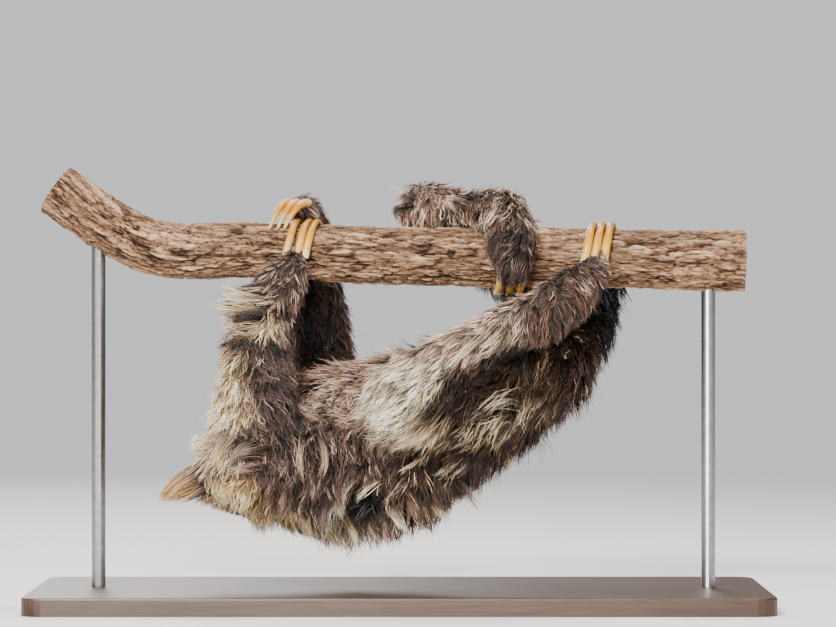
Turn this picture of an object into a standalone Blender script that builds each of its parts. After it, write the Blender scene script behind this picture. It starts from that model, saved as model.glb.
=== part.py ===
"""Three-toed sloth hanging from a cut length of branch on a display stand.

Life size, in metres, +Z up. The origin is the centre of the underside of the stand's base.
The animal hangs belly up along X with its head at -X, and its right side faces -Y.
The body is modelled as one closed form and then parted into named pieces by thin cuts.
"""
import math

import bmesh
import bpy
from mathutils import Matrix, Vector
from mathutils.bvhtree import BVHTree

GAP = 0.0003                 # clear space between neighbouring pieces

# Stand
BASE_SIZE = Vector((0.730, 0.320, 0.018))
BASE_CORNER_RADIUS = 0.020
BASE_EDGE_BEVEL = 0.002
ROD_RADIUS = 0.007
ROD_X = {"stand_rod_left": -0.302, "stand_rod_right": 0.308}
ROD_SOCKET_DEPTH = 0.012     # how far a rod enters the branch
ROD_SIDES = 16

# Branch: its middle line, and its radius at the left and right ends
BRANCH_LINE = [Vector(p) for p in (
    (-0.345, 0.012, 0.416), (-0.300, 0.008, 0.385), (-0.262, 0.003, 0.364), (-0.225, 0.000, 0.355),
    (-0.160, 0.000, 0.3545), (-0.080, 0.000, 0.3520), (0.010, 0.000, 0.3490), (0.110, 0.000, 0.3475),
    (0.230, 0.000, 0.3465), (0.345, -0.004, 0.3435))]
BRANCH_RADIUS_LEFT = 0.0270
BRANCH_RADIUS_RIGHT = 0.0305
BRANCH_SIDES = 12
BRANCH_STEPS = 22
KNOT_HEIGHT = 0.0022
KNOT_FADE = 0.06             # the length over which the knots set in
HOLD_X = (-0.130, 0.215)     # the stretch that the animal grips, where the branch is smooth

# Body: each chain is a run of balls (x, y, z, radius) out to the tips of the coat
TRUNK_WIDTH = 0.84           # the trunk's width over its depth
TRUNK = [(-0.065, 0.000, 0.156, 0.091), (-0.015, 0.000, 0.165, 0.091), (0.026, 0.000, 0.185, 0.083),
         (0.080, 0.005, 0.208, 0.075), (0.130, 0.016, 0.236, 0.063), (0.179, 0.045, 0.283, 0.048),
         (0.186, 0.080, 0.316, 0.046)]
NECK = [(-0.075, 0.000, 0.148, 0.060), (-0.104, 0.002, 0.137, 0.056), (-0.138, 0.010, 0.129, 0.048)]
TAIL = [(0.190, 0.080, 0.318, 0.026), (0.224, 0.090, 0.336, 0.020), (0.246, 0.094, 0.344, 0.014)]
ARM_RIGHT = [(-0.060, -0.045, 0.158, 0.053), (-0.145, -0.098, 0.150, 0.048)]
FOREARM_RIGHT = [(-0.145, -0.098, 0.150, 0.048), (-0.141, -0.098, 0.207, 0.045),
                 (-0.139, -0.084, 0.256, 0.038), (-0.130, -0.068, 0.295, 0.032)]
HAND_RIGHT = [(-0.130, -0.068, 0.295, 0.032), (-0.117, -0.056, 0.320, 0.027),
              (-0.107, -0.048, 0.336, 0.020)]
ARM_LEFT = [(-0.058, 0.045, 0.158, 0.052), (-0.086, 0.098, 0.170, 0.044)]
FOREARM_LEFT = [(-0.086, 0.098, 0.170, 0.044), (-0.080, 0.094, 0.236, 0.038),
                (-0.083, 0.070, 0.295, 0.034), (-0.083, 0.060, 0.338, 0.025)]
HAND_LEFT = [(-0.083, 0.060, 0.338, 0.025), (-0.087, 0.042, 0.374, 0.021), (-0.095, 0.011, 0.397, 0.018)]
THIGH_RIGHT = [(0.144, -0.004, 0.240, 0.056), (0.074, -0.050, 0.214, 0.052), (0.012, -0.080, 0.210, 0.048)]
SHIN_RIGHT = [(0.016, -0.092, 0.222, 0.038), (0.062, -0.096, 0.258, 0.026), (0.103, -0.092, 0.279, 0.026),
              (0.136, -0.083, 0.290, 0.029)]
FOOT_RIGHT = [(0.136, -0.083, 0.290, 0.029), (0.168, -0.065, 0.311, 0.026), (0.191, -0.051, 0.333, 0.019)]
THIGH_LEFT = [(0.168, 0.088, 0.322, 0.047), (0.098, 0.078, 0.363, 0.042), (0.026, 0.048, 0.396, 0.033)]
SHIN_LEFT = [(0.026, 0.044, 0.398, 0.032), (0.066, 0.018, 0.394, 0.023), (0.103, -0.012, 0.392, 0.028)]
FOOT_LEFT = [(0.103, -0.012, 0.392, 0.028), (0.112, -0.038, 0.364, 0.026), (0.113, -0.040, 0.339, 0.020)]

# Locks of long hair that stand out of the outline: (root, tip, root radius)
HEAD_LOCKS = [((-0.205, 0.006, 0.130), (-0.243, -0.004, 0.104), 0.020),
              ((-0.190, 0.000, 0.118), (-0.213, -0.006, 0.100), 0.012)]
NECK_LOCKS = [((-0.128, 0.000, 0.092), (-0.143, -0.006, 0.067), 0.014)]
FOREARM_LOCKS = [((-0.158, -0.080, 0.284), (-0.190, -0.080, 0.306), 0.014),
                 ((-0.170, -0.096, 0.224), (-0.197, -0.096, 0.236), 0.014)]
FRINGE_X = (-0.092, 0.052)   # the fringe of pointed locks along the back
FRINGE_LOCKS = 5
FRINGE_ROOT_RADIUS = 0.017
FRINGE_REACH = 0.011
FRINGE_SWAY = 0.006           # how far the roots wander along Y, and the tips along X
LOCK_TIP_RADIUS = 0.001

# Head, in its own directions: the face looks to +Y, away from the side that faces -Y
HEAD_CENTRE = Vector((-0.168, 0.016, 0.126))
FACE_DIRECTION = Vector((-0.30, 0.95, 0.06))
CROWN_DIRECTION = Vector((-0.88, -0.25, -0.36))
SKULL_RADIUS = 0.044
SKULL_FRONT_SHARE = 0.93       # the radius of the front of the skull, and of the cheeks, over SKULL_RADIUS
CHEEK_SHARE = 0.66
CHEEK_SPREAD = 0.012
MUZZLE_RADIUS = 0.0180
MUZZLE_ROOT_SHARE = 1.45       # the muzzle's radius at its root over that at its tip
MUZZLE_REACH = 0.0390
MUZZLE_DROP = 0.0150
EYE_RADIUS = 0.0058
EYE_PROUD = 0.0016             # how far the eyes and the nose stand out of the head
EYE_SPREAD = 0.0190
EYE_RISE = 0.0060
NOSE_DROP = 0.0105
NOSE_SIZE = Vector((0.0075, 0.0052, 0.0045))
NOSE_PROUD = 0.0018
EAR_SIZE = Vector((0.0035, 0.0100, 0.0065))   # thickness, height and depth
EAR_PROUD = 0.0005

# Claws, three to a foot, each wrapped round the branch; angles run from the far side over the top
CLAW_TIP_RADIUS = 0.0009
CLAW_CLEARANCE = 0.0008
CLAW_STEPS = 8
CLAW_SETS = {
    "claw_hand_right": {"roots": (-0.1135, -0.1025, -0.0945), "tips": (-0.0955, -0.0845, -0.0765),
                        "radius": 0.0038, "angles": (190.0, 52.0), "stagger": 0.0, "lift": 0.0},
    "claw_hand_left": {"roots": (-0.1090, -0.1004, -0.0918), "tips": (-0.1300, -0.1220, -0.1155),
                       "radius": 0.0042, "angles": (84.0, 132.0), "stagger": -5.0, "lift": 0.0165},
    "claw_foot_right": {"roots": (0.1830, 0.1922, 0.2014), "tips": (0.1990, 0.2082, 0.2174),
                        "radius": 0.0043, "angles": (190.0, 50.0), "stagger": 0.0, "lift": 0.0},
    "claw_foot_left": {"roots": (0.1015, 0.1115, 0.1215), "tips": (0.0915, 0.1015, 0.1115),
                       "radius": 0.0046, "angles": (214.0, 338.0), "stagger": 0.0, "lift": 0.0}}

# Fineness
BALL_SUBDIVISIONS = 3
CUTTER_SUBDIVISIONS = 1
VOXEL = 0.0045
SMOOTHING_PASSES = 6
BODY_TRIANGLES = 2380
CUTTER_FACET_FACTOR = 1.14   # so that the flats of a coarse ball stay outside the true ball
CUTTER_MARGIN = 0.003        # how far a cutter stands clear of the limb that it frees
DISC_SIDES = 24
LOCK_SIDES = 12
WELD = 0.00002               # points nearer than this are made one

# Discs that part the hands, feet, neck and tail: radius, and how far along the outer chain they cut
WRIST_RIGHT_CUT = (0.045, 0.1)
WRIST_LEFT_CUT = (0.038, 0.0)
ANKLE_RIGHT_CUT = (0.040, 0.35)
ANKLE_LEFT_CUT = (0.042, 0.1)
NECK_ROOT_CUT = 0.120
NECK_TOP_CUT = 0.075
TAIL_CUT = 0.030

COLOURS = {
    "pale": (0.50, 0.42, 0.31), "brown": (0.12, 0.075, 0.055), "tan": (0.23, 0.16, 0.11),
    "claw": (0.72, 0.55, 0.26), "dark": (0.02, 0.015, 0.012), "bark": (0.26, 0.19, 0.14),
    "steel": (0.10, 0.10, 0.11), "base": (0.05, 0.05, 0.055)}
GLOSSY = ("dark", "claw")
GLOSSY_ROUGHNESS = 0.3
DULL_ROUGHNESS = 0.75


def clear_scene():
    for item in list(bpy.data.objects):
        bpy.data.objects.remove(item, do_unlink=True)


def make_collection(name):
    collection = bpy.data.collections.new(name)
    bpy.context.scene.collection.children.link(collection)
    return collection


def make_material(name, colour, roughness, metallic):
    material = bpy.data.materials.new(name)
    material.use_nodes = True
    shader = material.node_tree.nodes["Principled BSDF"]
    shader.inputs["Base Color"].default_value = (*colour, 1.0)
    shader.inputs["Roughness"].default_value = roughness
    shader.inputs["Metallic"].default_value = metallic
    return material


def object_from_bmesh(name, work, collection):
    mesh = bpy.data.meshes.new(name)
    work.to_mesh(mesh)
    work.free()
    item = bpy.data.objects.new(name, mesh)
    collection.objects.link(item)
    return item


def apply_modifiers(item):
    """Replace an object's mesh by its evaluated one."""
    graph = bpy.context.evaluated_depsgraph_get()
    mesh = bpy.data.meshes.new_from_object(item.evaluated_get(graph))
    item.modifiers.clear()
    item.data = mesh


def add_hull(work, stations, subdivisions, width=1.0):
    """Add the convex hull of the balls at the stations; width scales each ball along Y."""
    hull = bmesh.new()
    for x, y, z, radius in stations:
        place = Matrix.Translation((x, y, z)) @ Matrix.Diagonal((1.0, width, 1.0, 1.0))
        bmesh.ops.create_icosphere(hull, subdivisions=subdivisions, radius=radius, matrix=place)
    bmesh.ops.delete(hull, geom=hull.faces[:] + hull.edges[:], context="EDGES_FACES")
    result = bmesh.ops.convex_hull(hull, input=hull.verts)
    inner = [piece for piece in result["geom_interior"] if isinstance(piece, bmesh.types.BMVert)]
    bmesh.ops.delete(hull, geom=inner, context="VERTS")
    bmesh.ops.recalc_face_normals(hull, faces=hull.faces)
    copy = bpy.data.meshes.new("hull")
    hull.to_mesh(copy)
    hull.free()
    work.from_mesh(copy)
    bpy.data.meshes.remove(copy)


def add_chain(work, stations, width=1.0):
    """Add a limb: overlapping hulls of each pair of neighbouring balls."""
    for first, second in zip(stations, stations[1:]):
        add_hull(work, (first, second), BALL_SUBDIVISIONS, width)


def add_lock(work, root, tip, radius):
    root = Vector(root)
    tip = Vector(tip)
    turn = (tip - root).to_track_quat("Z", "Y").to_matrix().to_4x4()
    place = Matrix.Translation(root.lerp(tip, 0.5)) @ turn
    bmesh.ops.create_cone(work, cap_ends=True, segments=LOCK_SIDES, radius1=radius, radius2=LOCK_TIP_RADIUS,
                          depth=(tip - root).length, matrix=place)


def head_frame():
    """Three unit directions: face, crown and side."""
    face = FACE_DIRECTION.normalized()
    crown = (CROWN_DIRECTION - face * CROWN_DIRECTION.dot(face)).normalized()
    return face, crown, crown.cross(face)


def head_point(forward, up, sideways):
    face, crown, side = head_frame()
    return HEAD_CENTRE + face * forward + crown * up + side * sideways


def ball_at(point, radius):
    return (point.x, point.y, point.z, radius)


def add_head(work):
    """Round skull, flat face and short muzzle."""
    skull = [ball_at(head_point(-0.004, 0.002, 0.0), SKULL_RADIUS),
             ball_at(head_point(0.004, -0.004, 0.0), SKULL_RADIUS * SKULL_FRONT_SHARE)]
    cheeks = [ball_at(head_point(0.010, -0.006, spread), SKULL_RADIUS * CHEEK_SHARE)
              for spread in (-CHEEK_SPREAD, CHEEK_SPREAD)]
    muzzle = [ball_at(head_point(0.012, -0.8 * MUZZLE_DROP, 0.0), MUZZLE_RADIUS * MUZZLE_ROOT_SHARE),
              ball_at(head_point(MUZZLE_REACH, -MUZZLE_DROP, 0.0), MUZZLE_RADIUS)]
    for stations in (skull, cheeks, muzzle):
        add_chain(work, stations)


def fringe_locks():
    """Roots and tips of the locks that hang in a row below the back."""
    locks = []
    first, last = FRINGE_X
    for index in range(FRINGE_LOCKS):
        x = first + (last - first) * index / (FRINGE_LOCKS - 1)
        lowest = min(z - math.sqrt(max(radius ** 2 - (x - cx) ** 2, 0.0))
                     for cx, cy, z, radius in TRUNK if abs(x - cx) < radius)
        sway = FRINGE_SWAY * math.sin(2.4 * index)
        root = (x, sway, lowest + FRINGE_ROOT_RADIUS)
        tip = (x + FRINGE_SWAY * math.sin(1.7 * index), sway - FRINGE_SWAY, lowest - FRINGE_REACH)
        locks.append((root, tip, FRINGE_ROOT_RADIUS))
    return locks


def reduce_triangles(item, target):
    bpy.context.view_layer.update()
    item.data.calc_loop_triangles()
    ratio = target / max(len(item.data.loop_triangles), 1)
    if ratio < 1.0:
        reduce = item.modifiers.new("reduce", "DECIMATE")
        reduce.ratio = ratio
        reduce.use_collapse_triangulate = True
        apply_modifiers(item)


def whole_body(collection):
    """The animal as one closed form with its coat, not yet parted."""
    work = bmesh.new()
    add_chain(work, TRUNK, TRUNK_WIDTH)
    for chain in (NECK, TAIL, ARM_RIGHT, FOREARM_RIGHT, HAND_RIGHT, ARM_LEFT, FOREARM_LEFT, HAND_LEFT,
                  THIGH_RIGHT, SHIN_RIGHT, FOOT_RIGHT, THIGH_LEFT, SHIN_LEFT, FOOT_LEFT):
        add_chain(work, chain)
    add_head(work)
    for root, tip, radius in HEAD_LOCKS + NECK_LOCKS + FOREARM_LOCKS + fringe_locks():
        add_lock(work, root, tip, radius)
    body = object_from_bmesh("body", work, collection)
    merge = body.modifiers.new("merge", "REMESH")
    merge.mode = "VOXEL"
    merge.voxel_size = VOXEL
    soften = body.modifiers.new("soften", "SMOOTH")
    soften.factor = 0.5
    soften.iterations = SMOOTHING_PASSES
    apply_modifiers(body)
    reduce_triangles(body, BODY_TRIANGLES)
    return body


def branch_axis(fraction):
    """Point on the branch's middle line, by a smooth curve through its named points."""
    spans = len(BRANCH_LINE) - 1
    place = min(max(fraction, 0.0), 1.0) * spans
    index = min(int(place), spans - 1)
    t = place - index
    before = BRANCH_LINE[max(index - 1, 0)]
    start = BRANCH_LINE[index]
    end = BRANCH_LINE[index + 1]
    after = BRANCH_LINE[min(index + 2, spans)]
    square = 2.0 * before - 5.0 * start + 4.0 * end - after
    cube = 3.0 * start - before - 3.0 * end + after
    return 0.5 * (2.0 * start + (end - before) * t + square * t ** 2 + cube * t ** 3)


def branch_axis_at(x):
    """Point on the middle line at a given x."""
    low = 0.0
    high = 1.0
    for _ in range(30):
        middle = (low + high) / 2.0
        if branch_axis(middle).x < x:
            low = middle
        else:
            high = middle
    return branch_axis(low)


def branch_radius(x):
    share = (x - BRANCH_LINE[0].x) / (BRANCH_LINE[-1].x - BRANCH_LINE[0].x)
    return BRANCH_RADIUS_LEFT + (BRANCH_RADIUS_RIGHT - BRANCH_RADIUS_LEFT) * share


def knot(x, angle):
    """Slow swelling of the branch outside the stretch that is gripped."""
    outside = max(HOLD_X[0] - x, x - HOLD_X[1], 0.0)
    fade = min(outside / KNOT_FADE, 1.0)
    return KNOT_HEIGHT * fade * (math.sin(70.0 * x + 2.0 * angle) + 0.6 * math.sin(41.0 * x - angle + 1.0))


def make_branch(name, collection, growth=0.0, socketed=True):
    """Tube of changing radius along the middle line; growth makes the larger copy that cuts the body."""
    work = bmesh.new()
    rings = []
    for step in range(BRANCH_STEPS + 1):
        fraction = step / BRANCH_STEPS
        centre = branch_axis(fraction)
        along = (branch_axis(fraction + 0.01) - branch_axis(fraction - 0.01)).normalized()
        back = Vector((0.0, 1.0, 0.0))
        top = along.cross(back).normalized()
        if top.z < 0.0:
            top.negate()
        back = top.cross(along).normalized()
        if back.y < 0.0:
            back.negate()
        ring = []
        for side in range(BRANCH_SIDES):
            angle = 2.0 * math.pi * side / BRANCH_SIDES
            radius = branch_radius(centre.x) + knot(centre.x, angle) + growth
            ring.append(work.verts.new(centre + back * (radius * math.cos(angle))
                                       + top * (radius * math.sin(angle))))
        rings.append(ring)
    for first, second in zip(rings, rings[1:]):
        for side in range(BRANCH_SIDES):
            after = (side + 1) % BRANCH_SIDES
            work.faces.new((first[side], first[after], second[after], second[side]))
    work.faces.new(rings[0])
    work.faces.new(list(reversed(rings[-1])))
    bmesh.ops.recalc_face_normals(work, faces=work.faces)
    branch = object_from_bmesh(name, work, collection)
    if socketed:
        for x in ROD_X.values():
            cutter = make_rod("socket", collection, x, ROD_RADIUS + GAP, GAP)
            cut(branch, cutter, "DIFFERENCE")
    return branch


def make_rod(name, collection, x, radius, extra=0.0):
    """Upright rod from the top of the base into the underside of the branch."""
    bottom = BASE_SIZE.z + GAP - extra
    axis = branch_axis_at(x)
    top = axis.z - branch_radius(x) + ROD_SOCKET_DEPTH + extra
    work = bmesh.new()
    place = Matrix.Translation((x, axis.y, (bottom + top) / 2.0))
    bmesh.ops.create_cone(work, cap_ends=True, segments=ROD_SIDES, radius1=radius, radius2=radius,
                          depth=top - bottom, matrix=place)
    return object_from_bmesh(name, work, collection)


def make_base(collection):
    work = bmesh.new()
    place = Matrix.Translation((0.0, 0.0, BASE_SIZE.z / 2.0)) @ Matrix.Diagonal((*BASE_SIZE, 1.0))
    bmesh.ops.create_cube(work, size=1.0, matrix=place)
    upright = [edge for edge in work.edges
               if abs(edge.verts[0].co.z - edge.verts[1].co.z) > BASE_SIZE.z / 2.0]
    bmesh.ops.bevel(work, geom=upright, offset=BASE_CORNER_RADIUS, segments=5, profile=0.5, affect="EDGES")
    top = [edge for edge in work.edges if min(v.co.z for v in edge.verts) > BASE_SIZE.z - 1e-6]
    bmesh.ops.bevel(work, geom=top, offset=BASE_EDGE_BEVEL, segments=2, profile=0.5, affect="EDGES")
    return object_from_bmesh("stand_base", work, collection)


def cut(item, cutter, operation):
    """Apply a Boolean and remove its cutter."""
    boolean = item.modifiers.new("cut", "BOOLEAN")
    boolean.operation = operation
    boolean.solver = "EXACT"
    boolean.object = cutter
    apply_modifiers(item)
    bpy.data.objects.remove(cutter, do_unlink=True)


def duplicate(item, name, collection):
    copy = item.copy()
    copy.data = item.data.copy()
    copy.name = name
    collection.objects.link(copy)
    return copy


def sleeve(stations, growth, collection):
    """Convex cutter all round a limb."""
    grown = [(x, y, z, radius * CUTTER_FACET_FACTOR + growth) for x, y, z, radius in stations]
    work = bmesh.new()
    add_hull(work, grown, CUTTER_SUBDIVISIONS)
    return object_from_bmesh("sleeve", work, collection)


def disc(point, direction, radius, collection):
    """Thin round cutter across a limb."""
    turn = Vector(direction).to_track_quat("Z", "Y").to_matrix().to_4x4()
    work = bmesh.new()
    bmesh.ops.create_cone(work, cap_ends=True, segments=DISC_SIDES, radius1=radius, radius2=radius,
                          depth=GAP, matrix=Matrix.Translation(point) @ turn)
    return object_from_bmesh("disc", work, collection)


def loose_islands(mesh):
    """Lists of vertex numbers, one for each separate body in a mesh, largest first."""
    work = bmesh.new()
    work.from_mesh(mesh)
    seen = set()
    islands = []
    for start in work.verts:
        if start.index in seen:
            continue
        seen.add(start.index)
        queue = [start]
        island = []
        while queue:
            vertex = queue.pop()
            island.append(vertex.index)
            for edge in vertex.link_edges:
                other = edge.other_vert(vertex)
                if other.index not in seen:
                    seen.add(other.index)
                    queue.append(other)
        islands.append(island)
    work.free()
    return sorted(islands, key=len, reverse=True)


def keep_island(item, island):
    work = bmesh.new()
    work.from_mesh(item.data)
    wanted = set(island)
    bmesh.ops.delete(work, geom=[v for v in work.verts if v.index not in wanted], context="VERTS")
    work.to_mesh(item.data)
    work.free()


def holds(mesh, point):
    """Whether a point lies inside a closed mesh: any ray from it then crosses an odd number of walls."""
    work = bmesh.new()
    work.from_mesh(mesh)
    tree = BVHTree.FromBMesh(work)
    direction = Vector((0.31, 0.57, 0.76)).normalized()
    crossings = 0
    place, _, _, _ = tree.ray_cast(point, direction)
    while place is not None:
        crossings += 1
        place, _, _, _ = tree.ray_cast(place + direction * 1e-6, direction)
    work.free()
    return crossings % 2 == 1


def split_off(block, names_and_seeds, collection, cutters):
    """Part a block into its loose bodies; each named seed point takes the body that it lies in."""
    pieces = {}
    bodies = []
    block.name = "block"
    for island in loose_islands(block.data):
        piece = duplicate(block, "loose", cutters)
        keep_island(piece, island)
        bodies.append(piece)
    for name, seed in names_and_seeds.items():
        found = next(body for body in bodies if holds(body.data, Vector(seed)))
        if found.name in cutters.objects:
            cutters.objects.unlink(found)
            collection.objects.link(found)
        found.name = name
        pieces[name] = found
    for body in bodies:
        if body not in pieces.values():
            bpy.data.objects.remove(body, do_unlink=True)
    bpy.data.objects.remove(block, do_unlink=True)
    return pieces


def middle(stations):
    first = Vector(stations[0][:3])
    last = Vector(stations[-1][:3])
    return first.lerp(last, 0.5)


def joint_disc(before, after, radius, cutters, share=0.0):
    """Disc at the joint between two chains, square to the limb there."""
    point = Vector(after[0][:3]).lerp(Vector(after[1][:3]), share)
    direction = Vector(after[1][:3]) - Vector(before[-2][:3])
    return disc(point, direction, radius, cutters)


def take_limb(block, name, stations, collection, cutters):
    """Free one limb from the block with a convex cutter round it."""
    piece = duplicate(block, name, collection)
    cut(piece, sleeve(stations, CUTTER_MARGIN, cutters), "INTERSECT")
    cut(block, sleeve(stations, CUTTER_MARGIN + GAP, cutters), "DIFFERENCE")
    keep_island(piece, loose_islands(piece.data)[0])
    return piece


def part_body(body, collection, cutters):
    """Divide the whole body into the pieces that a person would name."""
    wrist_discs = ((FOREARM_RIGHT, HAND_RIGHT, WRIST_RIGHT_CUT), (FOREARM_LEFT, HAND_LEFT, WRIST_LEFT_CUT),
                   (SHIN_RIGHT, FOOT_RIGHT, ANKLE_RIGHT_CUT), (SHIN_LEFT, FOOT_LEFT, ANKLE_LEFT_CUT))
    for before, after, (radius, share) in wrist_discs:
        cut(body, joint_disc(before, after, radius, cutters, share), "DIFFERENCE")
    pieces = split_off(body, {"trunk": TRUNK[1][:3], "hand_right": HAND_RIGHT[1][:3],
                              "hand_left": HAND_LEFT[1][:3], "foot_right": FOOT_RIGHT[1][:3],
                              "foot_left": FOOT_LEFT[1][:3]}, collection, cutters)
    block = pieces["trunk"]
    lock_tips = [(*tip, radius) for _, tip, radius in FOREARM_LOCKS]
    limbs = (("forearm_right", FOREARM_RIGHT + lock_tips), ("forearm_left", FOREARM_LEFT),
             ("upper_arm_right", ARM_RIGHT), ("upper_arm_left", ARM_LEFT),
             ("shin_right", SHIN_RIGHT), ("shin_left", SHIN_LEFT),
             ("thigh_right", THIGH_RIGHT), ("thigh_left", THIGH_LEFT))
    for name, stations in limbs:
        pieces[name] = take_limb(block, name, stations, collection, cutters)
    neck_root = disc(Vector(NECK[1][:3]), Vector(NECK[2][:3]) - Vector(NECK[0][:3]), NECK_ROOT_CUT, cutters)
    neck_top = disc(Vector(NECK[2][:3]), HEAD_CENTRE - Vector(NECK[1][:3]), NECK_TOP_CUT, cutters)
    tail_root = disc(middle(TAIL[1:]), Vector(TAIL[2][:3]) - Vector(TAIL[1][:3]), TAIL_CUT, cutters)
    for cutter in (neck_root, neck_top, tail_root):
        cut(block, cutter, "DIFFERENCE")
    pieces.update(split_off(block, {"trunk": TRUNK[1][:3], "neck": middle(NECK[1:]), "head": HEAD_CENTRE,
                                    "tail": TAIL[2][:3]}, collection, cutters))
    return pieces


def claw_points(name, index):
    """Points and radii of one claw, wrapped round the branch from its root to its tip."""
    claw = CLAW_SETS[name]
    first, last = claw["angles"]
    first -= claw["stagger"] * (index - 1)
    start = claw["roots"][index]
    end = claw["tips"][index]
    points = []
    for step in range(CLAW_STEPS):
        share = step / (CLAW_STEPS - 1)
        radius = claw["radius"] + (CLAW_TIP_RADIUS - claw["radius"]) * share ** 1.8
        x = start + (end - start) * share
        angle = math.radians(first + (last - first) * share)
        centre = branch_axis_at(x)
        lift = claw["lift"] * (1.0 - share ** 2.2)
        reach = branch_radius(x) + radius + CLAW_CLEARANCE + lift
        points.append((Vector((x, centre.y + reach * math.cos(angle), centre.z + reach * math.sin(angle))),
                       radius))
    return points


def make_claw(name, set_name, index, collection, growth=0.0):
    """Tapered tube along the claw's points, closed at both ends."""
    curve = bpy.data.curves.new(name, "CURVE")
    curve.dimensions = "3D"
    curve.bevel_depth = 1.0
    curve.bevel_resolution = 1
    curve.use_fill_caps = True
    spline = curve.splines.new("POLY")
    points = claw_points(set_name, index)
    spline.points.add(len(points) - 1)
    for knot_point, (place, radius) in zip(spline.points, points):
        knot_point.co = (*place, 1.0)
        knot_point.radius = radius + growth
    holder = bpy.data.objects.new(name + "_curve", curve)
    collection.objects.link(holder)
    graph = bpy.context.evaluated_depsgraph_get()
    mesh = bpy.data.meshes.new_from_object(holder.evaluated_get(graph))
    work = bmesh.new()
    work.from_mesh(mesh)
    bmesh.ops.remove_doubles(work, verts=work.verts, dist=WELD)
    bmesh.ops.recalc_face_normals(work, faces=work.faces)
    bpy.data.meshes.remove(mesh)
    bpy.data.objects.remove(holder, do_unlink=True)
    return object_from_bmesh(name, work, collection)


def make_claws(pieces, collection, cutters):
    """The claws, each let into its own hand or foot and into whatever else it presses."""
    claws = []
    holders = [pieces[name.replace("claw_", "")] for name in CLAW_SETS]
    for set_name, claw in CLAW_SETS.items():
        for index in range(len(claw["roots"])):
            claws.append(make_claw(f"{set_name}_{index + 1}", set_name, index, collection))
            for holder in holders:
                cut(holder, make_claw("socket", set_name, index, cutters, GAP), "DIFFERENCE")
    for holder in holders:
        keep_island(holder, loose_islands(holder.data)[0])
    return claws


def ellipsoid(name, centre, size, collection, growth=0.0):
    """Ellipsoid in the head's directions: size along side, crown and face."""
    face, crown, side = head_frame()
    turn = Matrix((side, crown, face)).transposed().to_4x4()
    grown = [value + growth for value in size]
    work = bmesh.new()
    place = Matrix.Translation(centre) @ turn @ Matrix.Diagonal((*grown, 1.0))
    bmesh.ops.create_icosphere(work, subdivisions=2, radius=1.0, matrix=place)
    bmesh.ops.recalc_face_normals(work, faces=work.faces)
    return object_from_bmesh(name, work, collection)


def surface_point(mesh, start, direction):
    """Where a ray from inside a closed mesh leaves it."""
    work = bmesh.new()
    work.from_mesh(mesh)
    tree = BVHTree.FromBMesh(work)
    place, _, _, _ = tree.ray_cast(start, direction)
    work.free()
    return place


def make_face(head, collection, cutters):
    """Eyes, nose and ears, each let into the head; the head's side direction is the animal's left."""
    face, crown, side = head_frame()
    small = {}
    for name, sign in (("eye_right", -1.0), ("eye_left", 1.0)):
        inner = head_point(0.0, EYE_RISE, sign * EYE_SPREAD)
        skin = surface_point(head.data, inner, face)
        small[name] = (skin - face * (EYE_RADIUS - EYE_PROUD), Vector((EYE_RADIUS, EYE_RADIUS, EYE_RADIUS)))
    skin = surface_point(head.data, head_point(0.0, -NOSE_DROP, 0.0), face)
    small["nose"] = (skin - face * (NOSE_SIZE.z - NOSE_PROUD), NOSE_SIZE)
    for name, sign in (("ear_right", -1.0), ("ear_left", 1.0)):
        direction = (side * sign + crown * 0.10 - face * 0.12).normalized()
        skin = surface_point(head.data, head_point(-0.004, 0.006, 0.0), direction)
        small[name] = (skin + direction * EAR_PROUD, EAR_SIZE)
    made = []
    for name, (centre, size) in small.items():
        made.append(ellipsoid(name, centre, size, collection))
        cut(head, ellipsoid("socket", centre, size, cutters, GAP), "DIFFERENCE")
    keep_island(head, loose_islands(head.data)[0])
    return made


def finish_mesh(item):
    """Weld stray doubles, triangulate and shade smooth with sharp creases."""
    work = bmesh.new()
    work.from_mesh(item.data)
    bmesh.ops.remove_doubles(work, verts=work.verts, dist=WELD)
    bmesh.ops.dissolve_degenerate(work, edges=work.edges, dist=WELD)
    bmesh.ops.triangulate(work, faces=work.faces)
    work.to_mesh(item.data)
    work.free()
    item.data.shade_smooth()
    item.data.set_sharp_from_angle(angle=math.radians(40.0))


def material_name(name):
    if name.startswith("claw"):
        return "claw"
    if name.startswith("eye") or name == "nose":
        return "dark"
    if name in ("head", "neck", "ear_right", "ear_left"):
        return "pale"
    if name == "trunk":
        return "tan"
    return "brown"


def main():
    clear_scene()
    parts = make_collection("three_toed_sloth")
    cutters = make_collection("cutters")
    branch = make_branch("branch", parts)
    base = make_base(parts)
    rods = [make_rod(name, parts, x, ROD_RADIUS) for name, x in ROD_X.items()]
    body = whole_body(cutters)
    cut(body, make_branch("grip", cutters, GAP, socketed=False), "DIFFERENCE")
    pieces = part_body(body, parts, cutters)
    claws = make_claws(pieces, parts, cutters)
    small = make_face(pieces["head"], parts, cutters)
    looks = {}
    for name, colour in COLOURS.items():
        roughness = GLOSSY_ROUGHNESS if name in GLOSSY else DULL_ROUGHNESS
        looks[name] = make_material(name, colour, roughness, 1.0 if name == "steel" else 0.0)
    for item in list(pieces.values()) + claws + small:
        item.data.materials.clear()
        item.data.materials.append(looks[material_name(item.name)])
    branch.data.materials.append(looks["bark"])
    base.data.materials.append(looks["base"])
    for rod in rods:
        rod.data.materials.append(looks["steel"])
    for item in list(parts.objects):
        finish_mesh(item)


if __name__ == "__main__":
    main()
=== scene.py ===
# Three-toed sloth hanging belly up under a cut branch, on a plain display stand: the looks.
import math

import bmesh
import bpy
import numpy as np
from mathutils import Matrix, Vector, noise
from mathutils.bvhtree import BVHTree
from mathutils.kdtree import KDTree


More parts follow.
